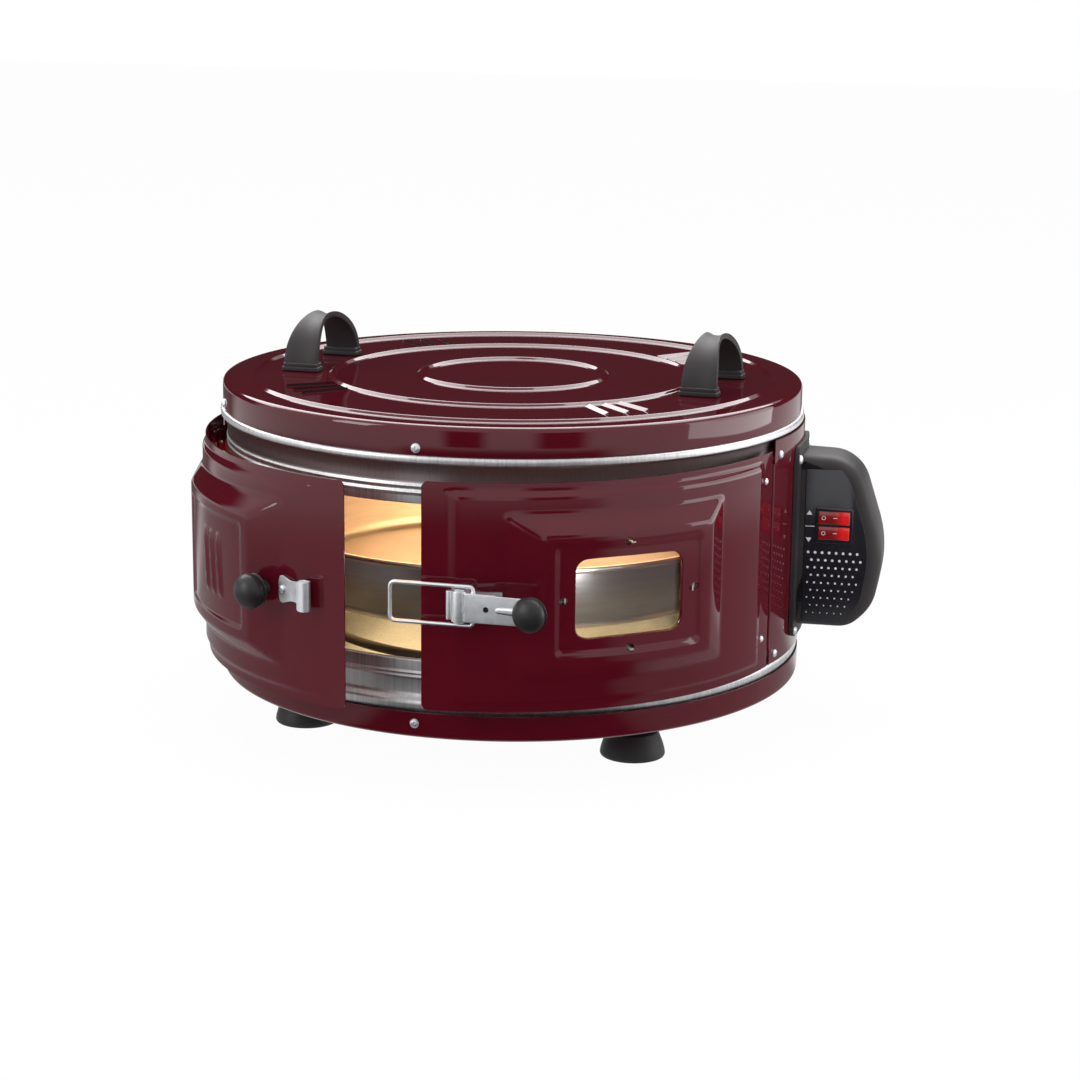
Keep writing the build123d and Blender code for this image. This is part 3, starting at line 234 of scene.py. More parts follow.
def blank(name, outline, low, high, place):  # an unseen solid for cutting
    outline = np.array(outline, float)
    count = len(outline)
    local = np.concatenate([np.column_stack([outline, np.full(count, z)]) for z in (low, high)]) * mm
    faces = gridFaces(2, count, False, True) + [list(range(count))[::-1], list(range(count, 2 * count))]
    mesh = bpy.data.meshes.new(name)
    mesh.from_pydata([tuple(p) for p in carriedTo(place, local)], [], faces)
    obj = bpy.data.objects.new(name, mesh)
    scene.collection.objects.link(obj)
    bm = bmesh.new()
    bm.from_mesh(mesh)
    bmesh.ops.recalc_face_normals(bm, faces=bm.faces)
    bm.to_mesh(mesh)
    bm.free()
    return obj


def circle(radius, count=32, x=0.0, y=0.0):
    a = np.linspace(0, 2 * math.pi, count, endpoint=False)
    return np.stack([x + radius * np.cos(a), y + radius * np.sin(a)], 1)


# Finishes


class Signal:  # one socket, so that shader sums read as sums
    def __init__(self, nodes, socket):
        self.nodes = nodes
        self.socket = socket

    def sum(self, operation, *others):
        return self.nodes.node("ShaderNodeMath", {"operation": operation},
                               dict(enumerate((self,) + others)))[0]

    def __add__(self, other):
        return self.sum("ADD", other)

    __radd__ = __add__

    def __sub__(self, other):
        return self.sum("SUBTRACT", other)

    def __rsub__(self, other):
        return self.nodes.node("ShaderNodeMath", {"operation": "SUBTRACT"}, {0: other, 1: self})[0]

    def __mul__(self, other):
        return self.sum("MULTIPLY", other)

    __rmul__ = __mul__

    def clamped(self):
        return self.sum("MAXIMUM", 0.0).sum("MINIMUM", 1.0)


class Made:  # a node's outputs, by name or place
    def __init__(self, nodes, node):
        self.nodes = nodes
        self.made = node

    def __getitem__(self, key):
        return Signal(self.nodes, self.made.outputs[key])


class Nodes:  # makes the nodes of one material or world
    def __init__(self, tree):
        self.tree = tree

    def node(self, kind, settings=None, sockets=None):
        made = self.tree.nodes.new(kind)
        for key, value in (settings or {}).items():
            if key == "stops":
                for stop, (position, colour) in zip(made.color_ramp.elements, value):
                    stop.position = position
                    stop.color = colour
            else:
                setattr(made, key, value)
        for key, value in (sockets or {}).items():
            if isinstance(value, Signal):
                self.tree.links.new(value.socket, made.inputs[key])
            else:
                made.inputs[key].default_value = value
        return Made(self, made)

    def show(self, signal):  # makes a shader the one that is seen
        self.tree.links.new(signal.socket, self.tree.nodes["Material Output"].inputs["Surface"])


class Finish(Nodes):
    def __init__(self, name, **constants):
        self.material = bpy.data.materials.new(name)
        self.material.use_nodes = True
        super().__init__(self.material.node_tree)
        self.shader = self.tree.nodes["Principled BSDF"]
        for key, value in constants.items():
            self.shader.inputs[key.replace("_", " ")].default_value = value
        self.place = self.node("ShaderNodeTexCoord")["Object"]

    def feed(self, name, signal):
        self.tree.links.new(signal.socket, self.shader.inputs[name])

    def stretched(self, x, y, z):  # object coordinates, scaled by direction
        return self.node("ShaderNodeMapping", None, {"Vector": self.place, "Scale": (x, y, z)})["Vector"]

    def noise(self, scale, detail=3.0, where=None, roughness=0.5):
        return self.node("ShaderNodeTexNoise", None, {
            "Vector": where or self.place, "Scale": scale, "Detail": detail, "Roughness": roughness})["Fac"]

    def mixed(self, factor, a, b):
        mix = self.node("ShaderNodeMix", {"data_type": "RGBA"}, {0: factor, 6: a, 7: b})
        return mix[2]

    def bumped(self, height, strength, distance=0.001):
        return self.node("ShaderNodeBump", None,
                         {"Height": height, "Strength": strength, "Distance": distance})["Normal"]


def rgba(r, g, b):
    return (r, g, b, 1.0)


enamelSizes = {"base": rgba(0.090, 0.0050, 0.0120), "deep": rgba(0.076, 0.0036, 0.0092), "roughness": 0.34,
               "coat": 0.85, "coatRoughness": 0.05, "peel": 900.0, "peelStrength": 0.04}


def makeEnamel(name="maroonEnamel"):  # glassy maroon with a slow drift of tone and a faint orange peel
    e = enamelSizes
    f = Finish(name, Coat_Weight=e["coat"], Coat_Roughness=e["coatRoughness"], Coat_IOR=1.5, IOR=1.45,
               Specular_IOR_Level=0.0)
    drift = f.noise(7.0, 3.0)
    f.feed("Base Color", f.mixed(drift, e["base"], e["deep"]))
    f.feed("Roughness", f.noise(60.0, 4.0) * 0.10 + (e["roughness"] - 0.05))
    wave = f.noise(55.0, 1.0) * 3.0 + f.noise(e["peel"], 2.0)
    f.feed("Normal", f.bumped(wave, e["peelStrength"], 0.0003))
    return f.material


# metal whose grain is scaled by direction, with an optional band of painted reflection
def makeSteel(name, low, high, grain, roughness, spread, bump=0.05, paintedReflectionBand=None):
    f = Finish(name, Metallic=1.0)
    streak = f.noise(1.0, 5.0, f.stretched(*grain), 0.65)
    cloud = f.noise(18.0, 3.0)
    tone = (streak * 0.7 + cloud * 0.3 - 0.25) * 1.9
    colour = f.mixed(tone.clamped(), low, high)
    if paintedReflectionBand:  # a band of heights painted dark and reddish: a painted reflection of the maroon enamel
        z = f.node("ShaderNodeSeparateXYZ", None, {0: f.place})["Z"]
        band = ((z - paintedReflectionBand[0]) * 420.0).clamped() * ((paintedReflectionBand[1] - z) * 420.0).clamped()
        colour = f.mixed(band * (streak * 0.5 + 0.6), colour, paintedReflectionBand[2])
    f.feed("Base Color", colour)
    f.feed("Roughness", streak * spread + roughness)
    f.feed("Normal", f.bumped(streak, bump, 0.0004))
    return f.material


def makePlastic(name, colour, roughness, grain=1400.0, bump=0.12, coat=0.0, second=None, shine=0.4):
    f = Finish(name, Coat_Weight=coat, Coat_Roughness=0.08, IOR=1.48, Specular_IOR_Level=shine)
    fine = f.noise(grain, 3.0)
    cloud = f.noise(25.0, 2.0)
    f.feed("Base Color", f.mixed(cloud, colour, second or tuple(c * 1.35 for c in colour[:3]) + (1.0,)))
    f.feed("Roughness", fine * 0.16 + cloud * 0.08 + (roughness - 0.12))
    f.feed("Normal", f.bumped(fine, bump, 0.0003))
    return f.material


def makeZinc(name="brightZinc"):  # zinc plate: pale metal with soft crystals and fine rolling marks
    f = Finish(name, Metallic=1.0)
    cells = f.node("ShaderNodeTexVoronoi", None, {"Vector": f.place, "Scale": 260.0})["Distance"]
    fine = f.noise(700.0, 2.0, f.stretched(1, 1, 0.2))
    f.feed("Base Color", f.mixed((cells * 0.6 + fine * 0.4).clamped(), rgba(0.74, 0.77, 0.80),
                                 rgba(0.88, 0.89, 0.91)))
    f.feed("Roughness", fine * 0.10 + cells * 0.06 + 0.42)
    f.feed("Normal", f.bumped(fine, 0.02, 0.0002))
    return f.material


def makeElement(name, glow):  # oxidised sheath, dull where it is cold and orange where it is hot
    f = Finish(name, Metallic=0.6)
    stain = f.noise(90.0, 5.0)
    f.feed("Base Color", f.mixed(stain, rgba(0.035, 0.026, 0.020), rgba(0.10, 0.075, 0.05)))
    f.feed("Roughness", stain * 0.3 + 0.4)
    f.feed("Normal", f.bumped(stain, 0.2, 0.0004))
    if glow:
        f.feed("Emission Color", f.mixed(stain, rgba(1.0, 0.30, 0.05), rgba(1.0, 0.42, 0.10)))
        f.shader.inputs["Emission Strength"].default_value = glow
    return f.material


def makeGlass():
    f = Finish("ovenGlass", Transmission_Weight=1.0, IOR=1.46)
    smear = f.noise(14.0, 4.0)
    f.feed("Base Color", f.mixed(smear, rgba(0.93, 0.95, 0.94), rgba(0.98, 0.98, 0.97)))
    f.feed("Roughness", smear * 0.03)
    return f.material


def makeRocker():  # clear red key over a lamp: its raised outer end is painted lighter red, a painted highlight, and the lamp's glow is kept to that end
    f = Finish("redRocker", Coat_Weight=1.0, Coat_Roughness=0.06, IOR=1.49)
    parts = f.node("ShaderNodeSeparateXYZ", None, {0: f.place})
    # the raised outer half of the key: a painted highlight in its colour, and where its lamp glows
    lit = ((parts["X"] - 0.2525) * 160.0).clamped()
    vein = f.noise(320.0, 2.0)
    f.feed("Base Color", f.mixed((lit * 0.8 + vein * 0.3).clamped(), rgba(0.19, 0.002, 0.004),
                                 rgba(0.46, 0.006, 0.010)))
    f.feed("Roughness", vein * 0.1 + 0.16)
    f.feed("Emission Color", f.mixed(lit, rgba(0.05, 0.0, 0.0), rgba(1.0, 0.02, 0.02)))
    f.shader.inputs["Emission Strength"].default_value = 0.32
    return f.material


rolledZinc = (rgba(0.44, 0.44, 0.45), rgba(0.84, 0.84, 0.85), (520, 520, 9), 0.34, 0.20)
finishes = {
    "enamel": makeEnamel(),
    "galvanised": makeSteel("galvanisedGrain", *rolledZinc),
    # the neck's galvanised grain with a band of painted dark reddish reflection
    "neck": makeSteel("neckGrainPaintedReflection", *rolledZinc, 0.05,
                      (0.2148, 0.2315, rgba(0.22, 0.155, 0.16))),
    "liner": makeSteel("linerSteel", rgba(0.42, 0.41, 0.40), rgba(0.78, 0.77, 0.75), (420, 420, 12), 0.24,
                       0.25),
    "trayMetal": makeSteel("trayAluminium", rgba(0.34, 0.325, 0.325), rgba(0.46, 0.44, 0.44), (30, 30, 500),
                           0.26, 0.14, 0.04),
    "zinc": makeZinc(),
    "black": makePlastic("satinBlackPlastic", rgba(0.024, 0.021, 0.022), 0.52, 900.0, 0.2,
                         second=rgba(0.048, 0.043, 0.044), shine=0.2),
    "knob": makePlastic("knobBlack", rgba(0.012, 0.0105, 0.0115), 0.44, 1100.0, 0.2),
    "gloss": makePlastic("glossBlackPanel", rgba(0.012, 0.011, 0.016), 0.20, 800.0, 0.03, 0.8),
    "rubber": makePlastic("footRubber", rgba(0.0075, 0.006, 0.007), 0.55, 900.0, 0.2),
    "ceramic": makePlastic("whiteCeramic", rgba(0.72, 0.70, 0.65), 0.55, 900.0, 0.2),
    "mark": makePlastic("silverMark", rgba(0.62, 0.62, 0.65), 0.35, 900.0, 0.05),
    "coldElement": makeElement("coldElement", 0.0),
    "hotElement": makeElement("hotElement", 9.0),
    "stand": makeSteel("standSteel", rgba(0.05, 0.042, 0.034), rgba(0.16, 0.14, 0.115), (200, 200, 200), 0.35,
                       0.25, 0.1),
    "shade": makePlastic("slotShade", rgba(0.006, 0.003, 0.004), 0.6, 700.0, 0.1),
    "glass": makeGlass(),
    "red": makeRocker(),
}
print("finishes made:", len(finishes))

# Lid

lid = {"rings": (70.0, 137.0, 197.0), "ringWidth": 6.8, "ringTop": 1.5, "ringRise": 2.0, "edge": 4.2,
       "sheet": 1.0, "groups": (44.2, 138.0, 222.5, 313.0), "spacing": 5.2, "inner": 141.5, "outer": 179.0,
       "hoodWidth": 3.6, "hoodRise": 1.7}


def makeLid():
    top, edge, half = drum["lidTop"], lid["edge"], lid["ringWidth"] / 2
    face = [(0.01, top)]
    for r in lid["rings"]:
        face += [(r - half, top), (r - lid["ringTop"] / 2, top + lid["ringRise"]),
                 (r + lid["ringTop"] / 2, top + lid["ringRise"]), (r + half, top)]
    radii = [0] + [0.9, 0.8, 0.8, 0.9] * len(lid["rings"])
    outer = drum["lidRadius"]
    face += [(outer, top), (outer, drum["lidBottom"]), (outer - 1, drum["lidBottom"]), (outer - 1, top - 2),
             (0.01, top - 1)]
    radii += [edge, 0.35, 0.35, 2, 0]
    outline = rounded(face, radii, 5, True)
    return lathe("lidEnamel", outline, "enamel", "body", "lid_shell", 320, sharp=60)


def makeLouvres():  # pressed hoods, open on one long side, over a dark sheet of painted shade in each slot
    count = 0
    for group in lid["groups"]:
        for step in (-1, 0, 1):
            azimuth = group + step * lid["spacing"]
            along = np.sin(np.linspace(-math.pi / 2, math.pi / 2, 25))
            across = np.linspace(0, 1, 9)
            length, width = (lid["outer"] - lid["inner"]) / 2, lid["hoodWidth"]
            taper = np.clip((1 - np.abs(along)) * 12.0, 0, 1)
            taper = np.sqrt(1 - (1 - taper) ** 2)
            side = width * (across[None, :] - 0.5) * (0.35 + 0.65 * taper[:, None])
            rise = lid["hoodRise"] * across[None, :] * taper[:, None]
            r = (lid["inner"] + lid["outer"]) / 2 + along[:, None] * length
            turn = azimuth + np.degrees(side / r)
            skin = around(r, turn, drum["lidTop"] + rise)
            lip = around(r[:, 0], turn[:, -1] - 0.12, drum["lidTop"] + rise[:, -1] - 0.5 * taper)
            base = around(r[:, 0], turn[:, -1] - 0.12, drum["lidTop"] + 0 * rise[:, -1] + 0.02)
            rows = np.concatenate([skin, lip[:, None, :]], 1)
            piece(f"louvreHood{count}", rows, gridFaces(25, 10), "enamel", "body", (), 50)
            # a dark sheet of painted shade in the hood's open side
            shade = np.stack([lip, base, around(r[:, 0], turn[:, -1] + 0.12,
                                                drum["lidTop"] + 0.02 + 0 * r[:, 0])], 1)
            piece(f"louvreSlotShade{count}", shade, gridFaces(25, 3), "shade", "body", (), 50)
            count += 1
    print("louvres made:", count)


makeLid()
makeLouvres()

handle = {"reach": 156.0, "width": 27.0, "waist": 0.46, "half": 47.0, "rise": 40.0, "inHalf": 41.0,
          "inRise": 35.4, "saddle": 2.2, "foot": 3.6, "flange": 1.2, "step": 2.8}


def makeHandle(side, node):
    h = handle
    t = np.linspace(0, math.pi, 41)
    c, s = np.cos(t), np.sin(t)
    outX = h["half"] * np.sign(c) * np.abs(c) ** 0.95
    outZ = h["rise"] * s ** 0.98
    inX = h["inHalf"] * np.sign(c) * np.abs(c) ** 0.98
    inZ = h["inRise"] * s ** 0.98
    wide = h["width"] / 2 * (1 - h["waist"] * s ** 3.0)
    dish = np.array([-1.0, -0.97, -0.82, -0.45, 0.0, 0.45, 0.82, 0.97, 1.0])
    lift = np.array([0.34, 0.06, 0.0, 0.20, 0.24, 0.20, 0.0, 0.06, 0.34])
    under = np.array([0.66, 0.94, 1.0, 1.0, 1.0, 1.0, 1.0, 0.94, 0.66])
    section = [(w, l) for w, l in zip(dish, lift)] + [(w, l) for w, l in zip(dish[::-1], under[::-1])]
    rows = []
    for i in range(len(t)):
        ring = []
        for w, l in section:
            x = outX[i] + (inX[i] - outX[i]) * l
            z = outZ[i] + (inZ[i] - outZ[i]) * l - h["saddle"] * s[i] ** 6 * (1 - w * w) * (1 - l)
            ring.append((side * (h["reach"] + w * wide[i]), x, drum["lidTop"] + 0.3 + z))
        rows.append(ring)
    faces = gridFaces(len(t), len(section), False, True)
    count = len(section)
    faces += [list(range(count)), list(range((len(t) - 1) * count, len(t) * count))[::-1]]
    body = piece(f"{node}Strap", np.array(rows) * mm, faces, "black", "body", node, 45)
    for end in (-1, 1):
        for k, (extra, low, high) in enumerate(((h["flange"], 0.3, h["foot"]),
                                                (0.35, h["foot"] - 0.4, h["foot"] + h["step"]))):
            size = (h["width"] + 2 * extra, 11.6 + 2 * extra, high - low)
            place = shift(side * h["reach"], end * (h["half"] - 5.2), drum["lidTop"] + (low + high) / 2)
            box(f"{node}Foot{end + 1}_{k}", size, place, "black", "body", (), 0.8)
    return body


makeHandle(-1, "left_handle")
makeHandle(1, "right_handle")
print("lid and handles made")

# Drum rings, base pan and side wall


def makeRings():
    w, b = drum["wallRadius"], drum["beadRadius"]
    top = drum["lidBottom"]
    low, neck = drum["lintel"], drum["neckTop"]
    upper = [(w - 4, low), (w, low), (w, 207.4), (w + 1.3, 209), (w, 210.6), (w, 212.0), (w + 1.3, 213.6),
             (w, 215.2), (w, neck - 7), (w + 1.8, neck - 0.6), (b - 0.2, neck), (b, neck + 1.6),
             (b, top - 1.8), (b - 1, top - 0.1), (w + 1.6, top - 0.1), (w + 1.6, top + 10),
             (w + 0.6, top + 10), (w + 0.6, top - 1), (w - 0.9, neck - 6), (w - 0.9, low + 1),
             (w - 4, low + 1)]
    radii = [0.2, 1.0, 0.9, 1.1, 0.9, 0.9, 1.1, 0.9, 4, 1.6, 1.6, 1.6, 1.6, 1, 0.4, 0.2, 0.2, 0.4, 1, 0.4,
             0.2]
    lathe("upperRing", rounded(upper, radii, 4), "neck", "body", "upper_ring", 300, sharp=60)
    s, e, k = drum["sill"], drum["beadTop"], drum["skirtTop"]
    lower = [(w - 4, s), (w, s), (w, s - 8.5), (w + 1.2, s - 9.7), (w, s - 10.9), (w, s - 11.4),
             (w + 1.2, s - 12.6), (w, s - 13.8), (w, e + 2.6), (b - 0.6, e - 0.2), (b, e - 2.0), (b, k + 2.0),
             (b - 1.0, k + 0.1), (w + 1.6, k + 0.1), (w + 1.6, k - 10), (w + 0.6, k - 10), (w + 0.6, k + 1),
             (w - 0.9, e + 2), (w - 0.9, s - 1), (w - 4, s - 1)]
    radii = [0.2, 1.0, 0.9, 1.1, 0.9, 0.9, 1.1, 0.9, 2.2, 1.6, 1.8, 1.8, 1, 0.4, 0.2, 0.2, 0.4, 1, 0.4, 0.2]
    lathe("lowerRing", rounded(lower, radii, 4), "galvanised", "body", "lower_ring", 300,
          sharp=60)


def makeBase():
    r, low, top = drum["skirtRadius"], drum["panBottom"], drum["skirtTop"]
    outline = [(0.01, low), (r, low), (r, top), (r - 1, top), (r - 1, low + 1), (0.01, low + 1)]
    lathe("basePan", rounded(outline, [0, 4.5, 0.4, 0.4, 3, 0], 6), "enamel", "body", "base_pan",
          300, sharp=60)


def makeSideWall():
    r, low, high = drum["shellRadius"], drum["beadTop"] + 0.6, drum["neckTop"] - 0.6
    start = drum["hinge"] + 0.58
    outline = [(r - 1, low), (r, low), (r, high), (r - 1, high)]
    lathe("sideWall", rounded(outline, 0.4, 3), "enamel", "body", "side_wall", 220, start,
          360 - start, 50)
    for side in (-1, 1):  # folded front edges that close the gap to the liner
        azimuth = side * (start + 4.6)
        jamb = [(213.2, drum["sill"] + 0.4), (r - 1, drum["sill"] + 0.4), (r - 1, drum["lintel"] - 0.4),
                (213.2, drum["lintel"] - 0.4)]
        lathe(f"jamb{side + 1}", jamb, "liner", "body", (), 3, azimuth - 0.13, azimuth + 0.13)


makeRings()
makeBase()
makeSideWall()
print("rings, base and side wall made")

# Doors

door = {"low": 61.6, "high": 223.0, "sheet": 1.0, "start": 2.25, "scale": 226.0,
        "margin": 20.5, "hingeMargin": 19.0, "edge": 5.6, "slope": 9.0, "zSlope": 3.2, "field": 2.4,
        "bossLow": 84.0, "bossHigh": 202.0, "bossZSlope": 12.5, "boss": 9.0, "bossNearSlope": 20.5,
        "corner": 4.5, "recess": 1.5, "recessInset": 8.0}
rightDoor = {"side": 1, "angle": drum["ajar"], "end": 301.3, "fieldSlope": 9.0, "bossNear": 72.5,
             "bossFar": 242.0, "bossFarSlope": 24.0}
leftDoor = {"side": -1, "angle": drum["open"], "end": 293.4, "fieldSlope": 40.0, "bossNear": 67.0,
            "bossFar": 238.0, "bossFarSlope": 26.0}
window = {"s": 156.5, "z": 143.5, "width": 82.0, "tall": 57.0, "corner": 9.0, "curve": 234.0}


def soften(t, k=0.16):  # ramp from 0 to 1 with rounded ends
    t = np.clip(t, -k, 1 + k)
    low = np.where(t < k, (t + k) ** 2 / (4 * k), t)
    u = 1 - t
    high = np.where(u < k, (u + k) ** 2 / (4 * k), u)
    return np.where(t < 0.5, low, 1 - high)


def roundMin(a, b, k):
    h = np.maximum(k - np.abs(a - b), 0) / k
    return np.minimum(a, b) - h * h * k / 4


def inBox(s, z, s0, s1, z0, z1, ws0, ws1, wz, k):  # 0 outside the rectangle, 1 past its slopes
    a = roundMin((s - s0) / ws0, (s1 - s) / ws1, k)
    b = roundMin((z - z0) / wz, (z1 - z) / wz, k)
    return roundMin(a, b, k)


def pressed(s, z, d):  # how far the pressed sheet stands off the drum's curve
    p = door
    field = inBox(s, z, p["hingeMargin"], d["end"] - p["margin"] + 3, p["low"] + p["edge"],
                  p["high"] - p["edge"], p["slope"] * 0.7, d["fieldSlope"], p["zSlope"], 0.5)
    boss = inBox(s, z, d["bossNear"], d["bossFar"], p["bossLow"], p["bossHigh"], p["bossNearSlope"],
                 d["bossFarSlope"], p["bossZSlope"], 0.28)
    inner0 = d["bossNear"] + p["bossNearSlope"] + p["recessInset"]
    inner1 = d["bossFar"] - d["bossFarSlope"] - p["recessInset"]
    low = p["bossLow"] + p["bossZSlope"] + p["recessInset"] - 1
    high = p["bossHigh"] - p["bossZSlope"] - p["recessInset"] + 1
    recess = inBox(s, z, inner0, inner1, low, high, 3.0, 3.0, 3.0, 1.4)
    h = p["field"] * soften(field) + p["boss"] * soften(boss, 0.10) - p["recess"] * soften(recess)
    if d["side"] < 0:  # three slanted ribs where the other door has its window
        for i in (-1, 0, 1):
            line = 158.0 + i * 12.0 - (z - 143.5) * 0.10
            rib = np.exp(-((s - line) / 2.5) ** 2) * np.clip((24 - np.abs(z - 143.5)) / 6, 0, 1)
            h = h + 1.9 * rib
    return h


def onDoor(s, z, d, lift=0.0, angle=None):  # a point of a door, with lift off its sheet
    azimuth = d["side"] * (drum["hinge"] - np.degrees(s / door["scale"]))
    radius = drum["shellRadius"] + pressed(s, z, d) + lift
    return swing(around(radius, azimuth, z), d["side"], d["angle"] if angle is None else angle)


def makeDoor(name, d, node, body):
    s, z = (np.concatenate([[a, a + 0.3], np.arange(a + 1.5, b - 1.0, 1.5), [b - 0.3, b]])
            for a, b in ((door["start"], d["end"]), (door["low"], door["high"])))
    gridS, gridZ = np.meshgrid(s, z, indexing="ij")
    c = door["corner"]  # the free corners are rounded
    drop = c - np.sqrt(np.clip(c ** 2 - np.clip(gridS - d["end"] + c, 0, c) ** 2, 0, None))
    middle = (door["high"] + door["low"]) / 2
    gridZ = middle + (gridZ - middle) * (1 - drop / (door["high"] - middle))
    front = onDoor(gridS, gridZ, d)
    back = onDoor(gridS, gridZ, d, -door["sheet"])
    rows, cols = gridS.shape
    points = np.concatenate([front.reshape(-1, 3), back.reshape(-1, 3)])
    faces = gridFaces(rows, cols) + [f[::-1] for f in gridFaces(rows, cols, offset=rows * cols)]
    rim = [i * cols for i in range(rows)] + [(rows - 1) * cols + j for j in range(1, cols)]
    rim += [i * cols + cols - 1 for i in range(rows - 2, -1, -1)] + [j for j in range(cols - 2, 0, -1)]
    for a, b in zip(rim, rim[1:] + rim[:1]):
        faces.append([a, b, b + rows * cols, a + rows * cols])
    return piece(name, points, faces, "enamel", body, node, 50)


# matrix on a door: X along the door from hinge to free edge side, Y up, Z outwards
def doorPlace(d, s, z, lift=0.0):
    p = onDoor(np.array(s), np.array(z), d, lift)
    base = drum["shellRadius"] + pressed(np.array(s), np.array(z), d) + lift
    ahead = swing(around(base, d["side"] * (drum["hinge"] - math.degrees((s + 1) / door["scale"])), z),
                  d["side"], d["angle"])
    x = Vector(ahead - p).normalized()
    if d["side"] > 0:
        x = -x
    y = Vector((0, 0, 1))
    out = x.cross(y)
    return Matrix.Translation(Vector(p)) @ Matrix((x, y, out)).transposed().to_4x4()


def outwards(place):  # the same place with its Z axis pointing away from the door
    centre = place.to_translation()
    if place.to_3x3().col[2].dot(Vector((centre.x, centre.y, 0))) < 0:
        return place @ Matrix.Rotation(math.pi, 4, "Y")
    return place


rightPanel = makeDoor("rightDoorSheet", rightDoor, "right_door_panel", "right_door")
w = window
opening = rounded(oblong(w["width"], w["tall"]), w["corner"] * 1.2, 8)
cut(rightPanel, blank("windowCut", opening, -9, 9, outwards(doorPlace(rightDoor, w["s"], w["z"]))))
tabs = ((159.0, 182.4), (204.0, 142.7), (105.6, 144.2), (156.5, 106.6))
for i, (s, z) in enumerate(tabs):
    cut(rightPanel, blank(f"tabCut{i}", circle(2.9, 24), -4, 4, outwards(doorPlace(rightDoor, s, z))))
leftPanel = makeDoor("leftDoorSheet", leftDoor, "left_door_panel", "left_door")
print("doors made")

# Window lip


def makeWindowLip():
    place = outwards(doorPlace(rightDoor, w["s"], w["z"]))
    rows = []
    for offset, depth in ((0.0, 0.25), (-0.7, -0.1), (-0.9, -1.4), (-0.5, -3.2)):
        grown = opening * (1 + offset / np.linalg.norm(opening, axis=1, keepdims=True))
        sag = -(grown[:, 0] ** 2) / (2 * w["curve"])
        rows.append(carriedTo(place, np.column_stack([grown, sag + depth]) * mm))
    piece("windowLip", np.array(rows), gridFaces(4, len(opening), False, True), "enamel", "right_door", (),
          60)


makeWindowLip()
print("window lip made")

# Latch: lever, knob, wire bail and the left door's knob and catch

latch = {"azimuth": 6.2, "radius": 232.9, "z": 140.0, "tilt": 10.0, "length": 48.5, "width": 20.0,
         "thick": 1.2, "bailReach": 9.8, "wire": 1.4, "bailLength": 59.0, "bailHalf": 13.7, "barrel": 5.6,
         "roll": 10.6, "knob": 12.2, "knobDepth": 8.0}


def leverPlace():  # matrix on the lever's pin: X along the lever, Y towards the door, Z up
    pin = swing(around(latch["radius"], latch["azimuth"], latch["z"]), 1, drum["ajar"])
    turn = math.radians(latch["azimuth"] - latch["tilt"] + drum["ajar"])
    return Matrix.Translation(Vector(pin)) @ Matrix.Rotation(turn, 4, "Z")


def makeLever():
    place = leverPlace()
    half, front = latch["width"] / 2, -4.3
    plate = rounded([(5.0, -half), (latch["length"], -half * 0.96), (latch["length"], half * 0.96),
                     (5.0, half)], [1.0, 3, 3, 1.0], 5)
    flat = place @ shift(0, front, 0) @ Matrix.Rotation(math.pi / 2, 4, "X")
    lever = bar("leverPlate", plate, latch["thick"], flat, "zinc", "lever", "latch_lever", 0.35, 50)
    cut(lever, blank("leverHole", circle(2.0, 24, latch["length"] * 0.42, 0), -3, 4, flat))
    bar("leverHoleShade", circle(2.6, 24, latch["length"] * 0.42, 0), 0.1, flat @ shift(0, 0, -0.3), "shade",
        "lever", ())
    for side in (-1, 1):
        wall = rounded([(-1, 4.2), (-1, front + 0.2), (20, front + 0.2), (27, front + 0.2), (23, 1.5),
                        (14, 4.2)], [2, 0.3, 0, 1, 5, 4], 5)
        z = side * (half - 0.6) - 0.6
        bar(f"leverFlange{side + 1}", wall, 1.2, place @ shift(0, 0, z), "zinc", "lever", (), 0.3)
    turns = np.linspace(math.radians(-95), math.radians(215), 40)  # the end of the plate rolled round the pin
    outer = [(latch["barrel"] * math.cos(-t), latch["barrel"] * math.sin(-t)) for t in turns]
    inner = [((latch["barrel"] - 1.2) * math.cos(-t),
              (latch["barrel"] - 1.2) * math.sin(-t)) for t in reversed(turns)]
    tall = latch["roll"]
    bar("leverRoll", outer + inner, 2 * tall, place @ shift(0, 0, -tall), "zinc", "lever", (), 0.2,
        50)
    bar("leverPinBush", circle(2.9, 28), 2 * tall + 1.6, place @ shift(0, 0, -tall - 0.8), "zinc", "lever",
        (), 0.6)
    bar("leverCurl", circle(2.3, 24, -7.4, 0.6), 2 * tall - 1.0, place @ shift(0, 0, -tall + 0.5), "zinc",
        "lever", (), 0.5)
    u, v = np.meshgrid(np.linspace(0, 1, 25), np.linspace(-1, 1, 13), indexing="ij")
    start, end = latch["length"] * 0.55, latch["length"] - 1.0
    wide = (2.0 + 1.2 * u) * np.sqrt(np.clip(1 - (1 - np.clip(u / 0.12, 0, 1)) ** 2, 0, 1))
    rise = (0.7 + 1.3 * u) * np.clip(u / 0.10, 0, 1) ** 0.5 * (1 - v ** 4)
    local = np.stack([start + (end - start) * u, v * wide, latch["thick"] + rise - 0.02], -1) * mm
    piece("leverRib", carriedTo(flat, local), gridFaces(25, 13), "zinc", "lever", (), 80)


def ballOutline(radius, depth, neck=0.0):  # a pressed ball knob: a flattened ball on a thin collar
    low = -depth * 0.55
    rim = [(0.0, low - 1.7), (radius * 0.84, low - 1.7), (radius * 0.93, low - 1.2),
           (radius * 0.95, low - 0.5), (radius * 0.91, low + 0.1), (radius * 0.86, low + 0.3)]
    if neck:
        rim = [(0.0, low - 1.7 - neck), (5.6, low - 1.7 - neck), (5.2, low - 1.7)] + rim[1:]
    return rim + [(radius * math.cos(t), depth * math.sin(t))
                  for t in np.linspace(math.radians(-30), math.pi / 2, 24)]


